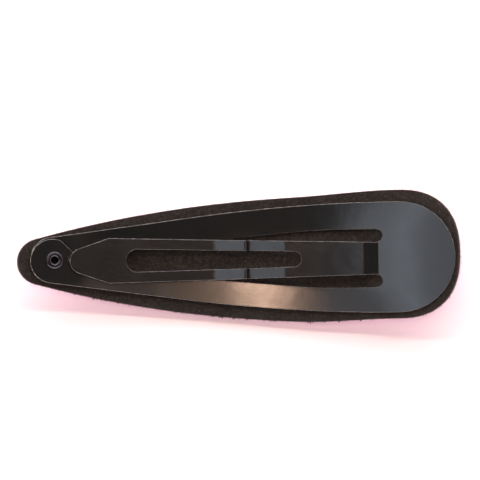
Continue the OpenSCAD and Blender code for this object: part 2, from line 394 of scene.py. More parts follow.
@dataclass(frozen=True)
class Build:
    """How the layers lie on each other, measured square to the arch from its lowest face.

    Attributes:
        cover: thickness of the fabric front.
        pad: thickness of the suede.
        steel: thickness of the steel.
        glue: gap of a glue line.
        lap_gap: gap between the two tabs.
        arch_radius: radius of the lowest face.
        arch_middle: where it is lowest.
        axis_y: where the steel's centre line lies.
    """

    cover: float = 0.6
    pad: float = 1.0
    steel: float = 0.5
    glue: float = 0.05
    lap_gap: float = 0.05
    arch_radius: float = 120.0
    arch_middle: float = -1.5
    axis_y: float = sum(corner.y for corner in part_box("rivet")) / 2 / MM

    @property
    def pad_level(self) -> float:
        """Level of the suede's underside."""
        return self.cover + self.glue

    @property
    def steel_level(self) -> float:
        """Level of the steel's underside."""
        return self.pad_level + self.pad + self.glue

    @property
    def lap_lift(self) -> float:
        """How far the lapping tab lies over the other."""
        return self.steel + self.lap_gap

    def height(self, x: np.ndarray, level: np.ndarray | float) -> np.ndarray:
        """Height of a level at a place: the circle of that level, seen from the side."""
        off = x - self.arch_middle
        return self.arch_radius - np.sqrt((self.arch_radius - level) ** 2 - off**2)

    def lean(self, x: float, level: float) -> float:
        """Angle of a level's slope at a place, in radians."""
        return float(np.arcsin((x - self.arch_middle) / (self.arch_radius - level)))


@dataclass(frozen=True)
class Plan:
    """Plan of the steel blank and of the tongue in it.

    Attributes:
        length: from the tabs to the end of the head.
        head_r: radius of the head.
        tip_r: radius of the tabs.
        tip_margin: how far the suede reaches past the tabs.
        head_margin: how far the suede reaches past the head.
        flank_share: radius of the long edges, as a share of the one arc that would make an edge.
        tab_shift: how far a tab's centre lies towards its own leg.
        tab_trim: how much the slanting cut takes off a tab's circle.
        lap_ramp: length over which the lapping leg sinks.
        side_slot_w: width of the slot on each side of the root.
        side_slot_past: how far the side slots run past the root crease.
        window_straight: length of the window's parallel part.
        window_bend: length of the bend from parallel to tapered.
        window_tip_w: width of the window where the legs come together.
        root_w: width of the tongue at its root.
        tongue_w: width of the tongue at its shoulders.
        crease_in: from the end of the head to the root crease.
        nose_len: from the shoulders to the end of the nose.
        nose_r: radius of the nose.
        tongue_y: how far the tongue lies off the centre line.
        slot_root_w: width of the tongue's slot towards the head.
        slot_nose_w: width of the tongue's slot towards the nose.
        slot_root_web: whole metal between the root crease and that slot.
        slot_nose_web: whole metal between the nose and that slot.
        rivet_r: radius of the rivet's rim.
        eye_r: radius of the rivet's eye.
        shank_wall: wall of the rivet's shank.
        rivet_gap: air round the rivet.
        nose_gap: air between the nose and the rivet.
        root_gap: how far before the crease the tongue's side edges start to widen.
    """

    length: float = 75.0
    head_r: float = 9.8
    tip_r: float = 3.9
    tip_margin: float = 2.5
    head_margin: float = 1.0
    flank_share: float = 0.83
    tab_shift: float = 0.17
    tab_trim: float = 0.3
    lap_ramp: float = 13.0
    side_slot_w: float = 2.3
    side_slot_past: float = 0.7
    window_straight: float = 11.0
    window_bend: float = 9.0
    window_tip_w: float = 3.2
    root_w: float = 5.7
    tongue_w: float = 8.0
    crease_in: float = 13.5
    nose_len: float = 6.9
    nose_r: float = 2.3
    tongue_y: float = -0.2
    slot_root_w: float = 2.75
    slot_nose_w: float = 4.0
    slot_root_web: float = 13.6
    slot_nose_web: float = 9.9
    rivet_r: float = 1.55
    eye_r: float = 0.62
    shank_wall: float = 0.28
    rivet_gap: float = 0.05
    nose_gap: float = 1.5
    root_gap: float = 0.1

    @property
    def pad_length(self) -> float:
        """Length of the suede."""
        return self.length + self.tip_margin + self.head_margin

    @property
    def tip_x(self) -> float:
        """Where the rivet stands."""
        return self.tip_margin + self.tip_r - self.pad_length / 2

    @property
    def head_x(self) -> float:
        """Centre of the head's round end."""
        return self.tip_x + self.length - self.tip_r - self.head_r

    @property
    def crease_x(self) -> float:
        """The tongue's root crease."""
        return self.head_x + self.head_r - self.crease_in

    @property
    def nose_x(self) -> float:
        """End of the tongue's nose."""
        return self.tip_x + self.rivet_r + self.nose_gap

    @property
    def lap_x(self) -> float:
        """Where the legs have come together."""
        return self.tip_x + 2 * self.tip_r

    @property
    def ramp_x(self) -> float:
        """Foot of the lapping leg's ramp."""
        return self.lap_x + self.lap_ramp

    @property
    def window_w(self) -> float:
        """Width of the window beside the root."""
        return self.root_w + 2 * self.side_slot_w

    @property
    def slot_r(self) -> float:
        """Radius of a side slot's end."""
        return self.side_slot_w / 2

    @property
    def slot_x(self) -> float:
        """Centre of a side slot's end."""
        return self.crease_x + self.side_slot_past - self.slot_r

    @property
    def hole_r(self) -> float:
        """Radius of the hole in a tab."""
        return self.eye_r + self.shank_wall + self.rivet_gap

    def flank_line(self) -> Triple:
        """Measures of a long outer edge, which is an arc that runs out into a straight line.

        The arc ends level at the middle of the head, and its tangent touches the tab's circle.

        Returns:
            The arc's radius, the slope angle of the straight part, and where that part ends.
        """
        reach = self.head_x - self.tip_x
        rise = self.head_r - self.tab_shift
        one_arc = (reach**2 + rise**2 - self.tip_r**2) / (2 * (rise - self.tip_r))
        radius = self.flank_share * one_arc
        drop = radius - self.head_r + self.tab_shift
        far = np.hypot(reach, drop)
        angle = np.arctan2(reach, drop) - np.arccos((radius - self.tip_r) / far)
        return radius, float(angle), float(self.head_x - radius * np.sin(angle))

    def flank_y(self, x: np.ndarray) -> np.ndarray:
        """Outer edge of a leg: a straight line off the tab's circle, then one long arc.

        Args:
            x: places along the clip.

        Returns:
            The edge's distance from the centre line at each.
        """
        radius, angle, start = self.flank_line()
        line = self.tab_shift + self.tip_r / np.cos(angle) + (x - self.tip_x) * np.tan(angle)
        bow = np.sqrt(radius**2 - np.maximum(self.head_x - x, 0) ** 2) - radius + self.head_r
        return np.where(x < start, line, bow)

    def inner_y(self, x: np.ndarray, side: np.ndarray | int) -> np.ndarray:
        """Inner edge of a leg: parallel to the root, a bend that is a parabola, then a taper.

        Args:
            x: places along the clip.
            side: 1 for the upper leg, -1 for the lower one, or one for each place.

        Returns:
            The edge's distance from the centre line at each.
        """
        bend_x = self.crease_x - self.window_straight
        taper = (self.window_w - self.window_tip_w) / 2 / (bend_x - self.lap_x)
        past, half = bend_x - x, self.window_bend / 2
        parabola = (past + half) ** 2 / (4 * half)
        fall = taper * np.where(np.abs(past) < half, parabola, np.maximum(0, past))
        return self.window_w / 2 + side * self.tongue_y - fall

    def root_corner(self, side: int) -> tuple[np.ndarray, np.ndarray]:
        """Corner where a side slot's round end meets the root crease, and the way into the slot.

        Args:
            side: 1 for the upper slot, -1 for the lower one.

        Returns:
            The corner's place, and a unit direction.
        """
        centre = np.array([self.slot_x, side * (self.window_w / 2 - self.slot_r) + self.tongue_y])
        dx = (self.crease_x - self.slot_x) / self.slot_r
        way = np.array([-dx, side * np.sqrt(1 - dx**2)])
        return centre - self.slot_r * way, way


# Shader tools


@dataclass(frozen=True)
class Grain:
    """A kind of noise.

    Attributes:
        size: size of its largest grains, in the units of the place where it is read.
        detail: how many finer layers it has.
        rough: how strong those are.
    """

    size: float
    detail: float = 2.0
    rough: float = 0.5


class Wire:
    """A value in a shader that takes part in Python sums. Each sum adds a Math node."""

    def __init__(self, paint: "Paint", socket: bpy.types.NodeSocket) -> None:
        """Keeps the shader and the output socket that carries the value."""
        self.paint = paint
        self.socket = socket

    def sum(self, operation: str, *values: Number, clamp: bool = False) -> "Wire":
        """Joins values with a Math node.

        Args:
            operation: what the node does.
            values: its inputs in order.
            clamp: whether the result is held between 0 and 1.

        Returns:
            The result.
        """
        sockets = dict(enumerate(values))
        made = self.paint.node("ShaderNodeMath", sockets, operation=operation, use_clamp=clamp)
        return Wire(self.paint, made.outputs[0])

    def __add__(self, other: Number) -> "Wire":
        """This plus another value."""
        return self.sum("ADD", self, other)

    def __radd__(self, other: Number) -> "Wire":
        """Another value plus this."""
        return self.sum("ADD", other, self)

    def __sub__(self, other: Number) -> "Wire":
        """This less another value."""
        return self.sum("SUBTRACT", self, other)

    def __rsub__(self, other: Number) -> "Wire":
        """Another value less this."""
        return self.sum("SUBTRACT", other, self)

    def __mul__(self, other: Number) -> "Wire":
        """This times another value."""
        return self.sum("MULTIPLY", self, other)

    def __rmul__(self, other: Number) -> "Wire":
        """Another value times this."""
        return self.sum("MULTIPLY", other, self)

    def held(self) -> "Wire":
        """This held between 0 and 1."""
        return self.sum("ADD", self, 0.0, clamp=True)

    def eased(self, low: float, high: float) -> "Wire":
        """0 under a low value, 1 over a high one, and a smooth step between them."""
        made = self.paint.node(
            "ShaderNodeMapRange",
            {"Value": self, "From Min": low, "From Max": high},
            interpolation_type="SMOOTHSTEP",
        )
        return Wire(self.paint, made.outputs[0])


class Paint:
    """Builds the nodes of one material or of the world."""

    def __init__(self, owner: bpy.types.Material | bpy.types.World) -> None:
        """Empties the owner's shader and starts on it."""
        owner.use_nodes = True
        self.owner = owner
        self.tree = owner.node_tree
        self.tree.nodes.clear()

    def node(
        self, kind: str, sockets: dict[int | str, object] | None = None, **settings: object
    ) -> bpy.types.Node:
        """Adds a node.

        Args:
            kind: the node's type.
            sockets: values or wires for its inputs, by name or number.
            settings: what is set on the node itself, before its inputs.

        Returns:
            The node.
        """
        made = self.tree.nodes.new(kind)
        for label, value in settings.items():
            setattr(made, label, value)
        for label, value in (sockets or {}).items():
            if isinstance(value, Wire):
                value = value.socket
            if isinstance(value, bpy.types.NodeSocket):
                self.tree.links.new(value, made.inputs[label])
            else:
                made.inputs[label].default_value = value
        return made

    def wire(self, node: bpy.types.Node, output: int | str = 0) -> Wire:
        """One output of a node as a value."""
        return Wire(self, node.outputs[output])

    def place(self, stretch: Triple = (1.0, 1.0, 1.0)) -> bpy.types.NodeSocket:
        """Object coordinates in millimetres, stretched along each axis."""
        coordinates = self.node("ShaderNodeTexCoord").outputs["Object"]
        scale = tuple(factor / MM for factor in stretch)
        return self.node("ShaderNodeMapping", {"Vector": coordinates, "Scale": scale}).outputs[0]

    def noise(self, place: bpy.types.NodeSocket, grain: Grain) -> Wire:
        """Noise between 0 and 1 at a place."""
        sockets = {"Vector": place, "Scale": 1.0 / grain.size, "Detail": grain.detail}
        return self.wire(self.node("ShaderNodeTexNoise", {**sockets, "Roughness": grain.rough}))

    def blend(self, share: Wire, start: object, end: object) -> bpy.types.NodeSocket:
        """Colour between two others, given as a share."""
        sockets = {"Factor": share, MIX_START: colour(start), MIX_END: colour(end)}
        return self.node("ShaderNodeMix", sockets, data_type="RGBA").outputs[MIXED]

    def bump(self, height: Wire, distance: float) -> bpy.types.NodeSocket:
        """Normals of a height between 0 and 1 that stands for a distance in millimetres."""
        sockets = {"Height": height, "Distance": distance * MM, "Strength": 1.0}
        return self.node("ShaderNodeBump", sockets).outputs[0]

    def principled(self, sockets: dict[int | str, object]) -> bpy.types.Material:
        """Ends a material with the shader that takes these values, and hands the material over."""
        self.finish(self.node("ShaderNodeBsdfPrincipled", sockets))
        return self.owner

    def finish(self, shader: bpy.types.Node, kind: str = "ShaderNodeOutputMaterial") -> None:
        """Links the last shader to the output."""
        self.tree.links.new(shader.outputs[0], self.tree.nodes.new(kind).inputs["Surface"])


def colour(value: object) -> object:
    """A colour of three numbers with full opacity added, or a socket as it is."""
    return (*value, 1.0) if isinstance(value, tuple) and len(value) == 3 else value


# Finishes


@dataclass(frozen=True)
class Lacquer:
    """Black lacquer on spring steel, rubbed through along the cut edges.

    Attributes:
        base: colour of the lacquer.
        bare: colour of the steel under it.
        roughness: how matt it is.
        spread: how much its gloss varies.
        index: its refractive index.
        metallic: how metallic the bare steel is.
        streak: the streaks, across their length.
        streak_length: how much longer than wide they are.
        smear: the broad smears.
        peel: the fine unevenness.
        grit: the dust under it.
        relief: height of the smears, streaks, fine unevenness and dust, as shares of the depth.
        depth: height that the shares stand for.
        spot: the spots that are rubbed bare.
        spot_steps: values of its noise between which such a spot begins.
        rubbing: how much is bare between the spots, and how much more in them.
        edge_steps: how far a rounded edge has turned where the wear begins and where it is full.
        handled: from where to where along the clip the edges are less and less worn.
        spared: share of the wear that is missing past that.
    """

    base: Triple = (0.0062, 0.0061, 0.0059)
    bare: Triple = (0.66, 0.66, 0.54)
    roughness: float = 0.153
    spread: float = 0.08
    index: float = 1.56
    metallic: float = 0.35
    streak: Grain = Grain(0.2, 3.0, 0.65)
    streak_length: float = 10.0
    smear: Grain = Grain(3.0, 3.0)
    peel: Grain = Grain(0.9)
    grit: Grain = Grain(0.1, 1.0)
    relief: tuple[float, float, float, float] = (1.0, 0.22, 0.09, 0.05)
    depth: float = 0.016
    spot: Grain = Grain(0.6, 3.0, 0.8)
    spot_steps: Pair = (0.44, 0.6)
    rubbing: Pair = (0.08, 0.9)
    edge_steps: Pair = (0.5, 0.98)
    handled: Pair = (26.0, 34.0)
    spared: float = 0.7

    def make(self) -> bpy.types.Material:
        """Makes the material: streaks along the blank, faint smears, and the worn edge."""
        paint = Paint(bpy.data.materials.new("black_lacquer"))
        place = paint.place()
        streaks = paint.noise(paint.place((1.0 / self.streak_length, 1.0, 1.0)), self.streak)
        smears, grit = paint.noise(place, self.smear), paint.noise(place, self.grit)
        peel = paint.noise(place, self.peel)
        spots = paint.noise(place, self.spot).eased(*self.spot_steps)
        along = paint.wire(paint.node("ShaderNodeSeparateXYZ", {"Vector": place}), "X")
        worn = paint.wire(paint.node("ShaderNodeAttribute", attribute_name="worn"), "Fac")
        handled = 1.0 - along.eased(*self.handled) * self.spared
        least, more = self.rubbing
        rubbed = (worn.eased(*self.edge_steps) * (spots * more + least) * handled).held()
        gloss = (smears - 0.5) * self.spread + (streaks - 0.5) * self.spread + self.roughness
        smear_high, streak_high, peel_high, grit_high = self.relief
        relief = smears * smear_high + streaks * streak_high + peel * peel_high + grit * grit_high
        return paint.principled({
            "Base Color": paint.blend(rubbed, self.base, self.bare),
            "Metallic": rubbed * self.metallic,
            "Roughness": gloss,
            "IOR": self.index,
            "Normal": paint.bump(relief, self.depth),
        })


@dataclass(frozen=True)
class DarkPlate:
    """Glossy dark plating on the rivet.

    Attributes:
        base: its colour.
        dull: its colour in the pits.
        metallic: how metallic it is.
        roughness: how matt it is.
        spread: how much more matt the pits are.
        pit: the pits.
        pit_steps: values of their noise between which one begins.
        depth: how deep they are.
    """

    base: Triple = (0.036, 0.038, 0.049)
    dull: Triple = (0.026, 0.021, 0.017)
    metallic: float = 0.85
    roughness: float = 0.14
    spread: float = 0.1
    pit: Grain = Grain(0.18, 3.0, 0.6)
    pit_steps: Pair = (0.35, 0.75)
    depth: float = 0.01

    def make(self) -> bpy.types.Material:
        """Makes the material: dark metal with small pits that are browner and duller."""
        paint = Paint(bpy.data.materials.new("dark_plate"))
        pits = paint.noise(paint.place(), self.pit)
        return paint.principled({
            "Base Color": paint.blend(pits.eased(*self.pit_steps), self.base, self.dull),
            "Metallic": self.metallic,
            "Roughness": pits * self.spread + self.roughness,
            "Normal": paint.bump(pits, self.depth),
        })


@dataclass(frozen=True)
class Suede:
    """Brown-black suede with a short nap.

    Attributes:
        dark: colour between the fibres.
        light: colour of the fibres' tips.
        speck: colour of a speck of dust.
        nap: the nap's grains.
        clump: its clumps.
        patch: its brushed patches.
        dust: the dust on it.
        tones: how much the nap, the clumps and the patches count in the colour.
        tone_base: what is taken off their sum.
        tone_steps: sums between which it goes from dark to light.
        dust_steps: values of the dust's noise between which a speck begins.
        relief: how much the nap and the clumps count in the height.
        depth: height of both together.
        roughness: how matt it is.
        specular: how strong its gloss is.
        sheen: strength and roughness of the pale bloom at low angles.
        bloom: colour of that bloom.
    """

    dark: Triple = (0.0055, 0.0050, 0.0044)
    light: Triple = (0.0275, 0.0228, 0.0192)
    speck: Triple = (0.16, 0.14, 0.12)
    nap: Grain = Grain(0.24, 3.0, 0.75)
    clump: Grain = Grain(0.6, 2.0, 0.6)
    patch: Grain = Grain(4.0)
    dust: Grain = Grain(0.3, 1.0)
    tones: Triple = (0.68, 0.32, 0.15)
    tone_base: float = 0.08
    tone_steps: Pair = (0.4, 0.63)
    dust_steps: Pair = (0.74, 0.8)
    relief: Pair = (0.6, 0.4)
    depth: float = 0.16
    roughness: float = 0.95
    specular: float = 0.15
    sheen: Pair = (0.12, 0.6)
    bloom: Triple = (0.8, 0.62, 0.5)

    def make(self) -> bpy.types.Material:
        """Makes the material: fine nap, broad brushed patches, and a few specks of dust."""
        paint = Paint(bpy.data.materials.new("suede"))
        place = paint.place()
        nap, clumps, patches, dust = (
            paint.noise(place, grain) for grain in (self.nap, self.clump, self.patch, self.dust)
        )
        nap_tone, clump_tone, patch_tone = self.tones
        tone = nap * nap_tone + clumps * clump_tone + patches * patch_tone - self.tone_base
        tone = paint.blend(tone.eased(*self.tone_steps), self.dark, self.light)
        nap_high, clump_high = self.relief
        return paint.principled({
            "Base Color": paint.blend(dust.eased(*self.dust_steps), tone, self.speck),
            "Roughness": self.roughness,
            "Specular IOR Level": self.specular,
            "Sheen Weight": self.sheen[0],
            "Sheen Roughness": self.sheen[1],
            "Sheen Tint": colour(self.bloom),
            "Normal": paint.bump(nap * nap_high + clumps * clump_high, self.depth),
        })


@dataclass(frozen=True)
class Lint:
    """Pale lint on the suede.

    Attributes:
        base: its colour.
        dim: brightness of its dark places, as a share.
        patch: those places.
        patch_steps: values of their noise between which it goes from dark to pale.
        roughness: how matt it is.
    """

    base: Triple = (0.10, 0.085, 0.07)
    dim: float = 0.35
    patch: Grain = Grain(1.2, 1.0)
    patch_steps: Pair = (0.35, 0.65)
    roughness: float = 0.9

    def make(self) -> bpy.types.Material:
        """Makes the material: matt, and paler in some places than in others."""
        paint = Paint(bpy.data.materials.new("lint"))
        patch = paint.noise(paint.place(), self.patch).eased(*self.patch_steps)
        tone = paint.blend(patch, tuple(self.dim * part for part in self.base), self.base)
        return paint.principled({"Base Color": tone, "Roughness": self.roughness})


@dataclass(frozen=True)
class FrontFabric:
    """Pink woven fabric of the clip's front.

    Attributes:
        thread: colour of the threads.
        between: colour between them.
        pitch: distance from thread to thread.
        ribs: length scale of the ribs that run across, and how much they count.
        cross: the same for the threads along them.
        waver: how unevenly the threads run.
        fuzz: the loose fibres.
        tones: how much the weave and the fibres count in the colour.
        tone_steps: sums between which it goes from between the threads to their tops.
        relief: how much the weave and the fibres count in the height.
        depth: height of both together.
        roughness: how matt it is.
        sheen: strength and roughness of the pale bloom at low angles.
    """

    thread: Triple = (0.94, 0.70, 0.775)
    between: Triple = (0.85, 0.56, 0.655)
    pitch: float = 0.34
    ribs: Pair = (3.2, 0.65)
    cross: Pair = (2.0, 0.35)
    waver: float = 0.6
    fuzz: Grain = Grain(0.2, 3.0, 0.7)
    tones: Pair = (0.7, 0.3)
    tone_steps: Pair = (0.15, 0.65)
    relief: Pair = (0.8, 0.2)
    depth: float = 0.08
    roughness: float = 0.8
    sheen: Pair = (0.3, 0.4)

    def make(self) -> bpy.types.Material:
        """Makes the material: ribs across the clip with a finer weave along them."""
        paint = Paint(bpy.data.materials.new("pink_fabric"))
        place = paint.place()
        turns = 1.0 / self.pitch
        threads = []
        for direction, (length, share) in (("X", self.ribs), ("Y", self.cross)):
            sockets = {"Vector": place, "Scale": turns / length, "Detail": 1.0}
            sockets["Distortion"] = self.waver
            bands = paint.node("ShaderNodeTexWave", sockets, bands_direction=direction)
            threads.append(paint.wire(bands, "Fac") * share)
        weave = threads[0] + threads[1]
        fuzz = paint.noise(place, self.fuzz)
        tone = (weave * self.tones[0] + fuzz * self.tones[1]).eased(*self.tone_steps)
        return paint.principled({
            "Base Color": paint.blend(tone, self.between, self.thread),
            "Roughness": self.roughness,
            "Sheen Weight": self.sheen[0],
            "Sheen Roughness": self.sheen[1],
            "Normal": paint.bump(weave * self.relief[0] + fuzz * self.relief[1], self.depth),
        })


@dataclass(frozen=True)
class WhiteBoard:
    """Smooth white board that the clip lies on.

    Attributes:
        base: its colour.
        painted_shadow_glow: pink light painted into the board as a faint glow, which lifts and
            tints the clip's shadow on it.
        roughness: how matt it is.
        haze: the unevenness of its gloss.
        spread: how strong that is.
    """

    base: Triple = (0.93, 0.925, 0.92)
    painted_shadow_glow: Triple = (0.085, 0.004, 0.035)
    roughness: float = 0.35
    haze: Grain = Grain(60.0)
    spread: float = 0.06

    def make(self) -> bpy.types.Material:
        """Makes the material: plain white with a faint unevenness of its gloss, and a painted pink
        glow that lifts and tints the shadow.
        """
        paint = Paint(bpy.data.materials.new("white_board"))
        haze = paint.noise(paint.place(), self.haze)
        return paint.principled({
            "Base Color": colour(self.base),
            # painted light: a pink glow over the whole board, seen only where the clip's shadow
            # falls, lifts and tints that shadow
            "Emission Color": colour(self.painted_shadow_glow),
            "Emission Strength": 1.0,
            "Roughness": haze * self.spread + self.roughness,
        })


# The clip's pieces


@dataclass
class SpringFrame:
    """The flat blank in one piece: head, two legs and the two lapped tabs.

    Attributes:
        plan: the blank's plan.
        build: how the layers lie.
        rounding: radius of its cut edges.
        rows: points across a leg.
        leg_count: stations along a leg.
        fan_count: stations in each third of the head.
        tab_count: stations round a tab's free edge.
        cut_count: stations along a tab's slanting cut.
        shoulder_count: points that trace the head's sides.
        round_count: points that trace a quarter of its round end.
        turn_from: angle from +X at which the second part of the head's rim starts.
        turn_to: angle at which it ends.
        bank: how steeply the legs rise towards their outer edges.
        bank_from: where that starts, near the tabs.
        bank_in: length over which it grows.
        bank_to: where it has gone again, in the head.
        bank_out: length over which it goes.
        bank_turn: width over which it turns from level.
    """

    plan: Plan
    build: Build
    rounding: float = 0.1
    rows: int = 12
    leg_count: int = 110
    fan_count: int = 22
    tab_count: int = 84
    cut_count: int = 21
    shoulder_count: int = 60
    round_count: int = 200
    turn_from: float = 72.0
    turn_to: float = 38.0
    bank: float = 0.088
    bank_from: float = -30.0
    bank_in: float = 9.0
    bank_to: float = 37.0
    bank_out: float = 20.0
    bank_turn: float = 1.2

    def height(self, plan: np.ndarray, lap: np.ndarray) -> np.ndarray:
        """Height of the top face: the arch's level, the lapping leg's climb, and the legs' bank.

        The bank is a hyperbola across the leg that turns upwards at its inner edge. It grows and
        goes smoothly along the clip, so that the end of the head and the tabs have none.

        Args:
            plan: one row of x and y for each place.
            lap: 1 at the places on the lapping leg, else 0.

        Returns:
            The height at each place.
        """
        x, y = plan[:, 0], plan[:, 1] - self.build.axis_y
        climb = self.build.lap_lift * smooth((self.plan.ramp_x - x) / self.plan.lap_ramp)
        grown, left = (x - self.bank_from) / self.bank_in, (self.bank_to - x) / self.bank_out
        share = smooth(grown) * smooth(left)
        past = np.abs(y) - self.plan.inner_y(x, np.sign(y))
        banked = self.bank * share * (past + np.hypot(past, self.bank_turn)) / 2
        level = self.build.steel_level + self.build.steel + climb * lap
        return self.build.height(x, level) + banked

    def corner_x(self, side: int) -> float:
        """Where a leg's inner edge meets the slanting cut at 45 degrees.

        Args:
            side: 1 for the upper leg, -1 for the lower one.

        Returns:
            The place along the clip.
        """
        cut = self.plan.tip_r - self.plan.tab_trim
        inner = float(self.plan.inner_y(np.array(self.plan.lap_x), side))
        return self.plan.tip_x + cut * np.sqrt(2) + inner - self.plan.tab_shift

    def half(self, side: int) -> dict[str, np.ndarray]:
        """Runs of the rim on one side, in the order from the root to the head's middle.

        Args:
            side: 1 for the upper leg, -1 for the lower one.

        Returns:
            The runs by name, with y as on the upper side, before it is turned over.
        """
        p = self.plan
        flat = np.array([1.0, side])
        corner, _ = p.root_corner(side)
        corner = corner * flat
        centre = (p.slot_x, p.window_w / 2 - p.slot_r + side * p.tongue_y)
        start = np.degrees(np.arctan2(corner[1] - centre[1], corner[0] - centre[0]))
        fan_x = p.crease_x - p.window_straight
        tab_x = self.corner_x(side)
        leg_x = np.linspace(fan_x, tab_x, self.leg_count)
        _, angle, _ = p.flank_line()
        trim = np.degrees(np.arccos((p.tip_r - p.tab_trim) / p.tip_r))
        tab_end = np.degrees(angle) - 270
        round_tab = arc((p.tip_x, p.tab_shift), p.tip_r, -45 - trim, tab_end, self.tab_count)
        flank_x = np.linspace(round_tab[-1, 0], tab_x, self.cut_count)
        head = arc((p.head_x, 0.0), p.head_r, 90, 0, self.round_count)
        head_x = np.linspace(fan_x, p.head_x, self.shoulder_count)
        outer = chain(np.column_stack([head_x, p.flank_y(head_x)]), head)
        turned = np.degrees(np.arctan2(outer[:, 1], outer[:, 0] - p.head_x))
        first, second = np.argmax(turned < self.turn_from), np.argmax(turned < self.turn_to)
        slot_end = arc(centre, p.slot_r, start, 90, self.fan_count)
        inner_x = np.linspace(p.slot_x, fan_x, self.fan_count)
        inner = np.column_stack([leg_x, p.inner_y(leg_x, side)])
        return {
            "slot_end": slot_end,
            "inner_head": np.column_stack([inner_x, p.inner_y(inner_x, side)]),
            "inner": inner,
            "cut": straight(inner[-1], round_tab[0], self.cut_count),
            "tab": round_tab,
            "flank_tab": np.column_stack([flank_x, p.flank_y(flank_x)]),
            "flank": np.column_stack([leg_x, p.flank_y(leg_x)])[::-1],
            "outer_head": respaced(outer[: first + 1], self.fan_count),
            "outer_turn": respaced(outer[first : second + 1], self.fan_count),
            "outer_end": respaced(outer[second:], self.fan_count),
        }

    def cut(self) -> bpy.types.Object:
        """Cuts the blank out, face by face along its rim, and lays it on the arch.

        Returns:
            The object.
        """
        sheet = Sheet(self.build.steel, self.rounding, self.height)
        shift = np.array([0.0, self.build.axis_y])
        rims, laps, parts = [], [], []
        for side in (1, -1):
            runs = self.half(side)
            line = chain(*runs.values()) * np.array([1.0, side])
            counts = np.cumsum([0] + [len(run) - 1 for run in runs.values()])
            parts.append(dict(zip(runs, zip(counts[:-1], counts[1:]))))
            rims.append(line)
            laps.append(np.full(len(line), 0.0 if side > 0 else 1.0))
        whole = chain(rims[0], rims[1][::-1]) + shift
        _, way_up = self.plan.root_corner(1)
        _, way_down = self.plan.root_corner(-1)
        rim = Rim(whole, first=way_up, last=way_down)
        lap = np.concatenate([laps[0], laps[1][1:]])
        sheet.edge(rim, lap)
        inset = rim.inset(self.rounding)
        lines = (inset[: len(rims[0])], inset[len(rims[0]) - 1 :][::-1])
        middle = (lines[0][0] + lines[1][0]) / 2
        for number, (line, part) in enumerate(zip(lines, parts)):

            def run(*names: str) -> np.ndarray:
                """The inset rim over a few runs that follow one another."""
                return line[part[names[0]][0] : part[names[-1]][1] + 1]

            leg = ruled(run("inner"), run("flank")[::-1], self.rows)
            sheet.face(leg, float(number))
            self.tab(sheet, run("cut", "tab", "flank_tab"), leg[-1], shift, float(number))
            root = straight(middle, line[0], self.fan_count)
            inside = chain(root, run("slot_end"), run("inner_head"))
            outside = run("outer_head", "outer_turn", "outer_end")[::-1]
            sheet.face(ruled(inside, outside, self.rows))
        return sheet.build("spring_blank")

    def tab(
        self, sheet: Sheet, free: np.ndarray, joint: np.ndarray, shift: np.ndarray, lap: float
    ) -> None:
        """Adds one round tab as a ring between the rivet's hole and its free edge.

        Args:
            sheet: the sheet that it is cut from.
            free: the tab's inset edge, from the leg's inner corner round to its outer edge.
            joint: the last row of the leg's own grid, from its inner to its outer edge.
            shift: how far the blank is moved in plan.
            lap: 1 for the lapping tab, else 0.
        """
        centre = np.array([self.plan.tip_x, 0.0]) + shift
        ring = np.concatenate([free, joint[::-1][1:-1]])
        way = unit(ring - centre)
        turning = np.sign(np.cross(way[0], way[1]))
        hole = Rim((centre + way * self.plan.hole_r)[:: int(turning)], closed=True)
        inset = hole.inset(self.rounding)[:: int(turning)]
        sheet.face(ruled(inset, ring, self.rows), lap, looped=True)
        sheet.edge(hole, lap)

    def make(self, finish: bpy.types.Material) -> None:
        """Builds and dresses the blank.

        Args:
            finish: its material.
        """
        made = self.cut()
        made.data.materials.append(finish)
        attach(made, "clip")
        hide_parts("spring_frame")


class Row(Enum):
    """Rows of the tongue's wave, each with its place as a share of the way from root to nose."""

    ROOT = 0.0
    JOGGLE = 0.049
    STEP = 0.302
    RISE = 0.306
    CHANNEL = 0.4187
    RIDGE = 0.4295
    LANDING = 0.535
    NOSE = 0.8
    END = 1.0


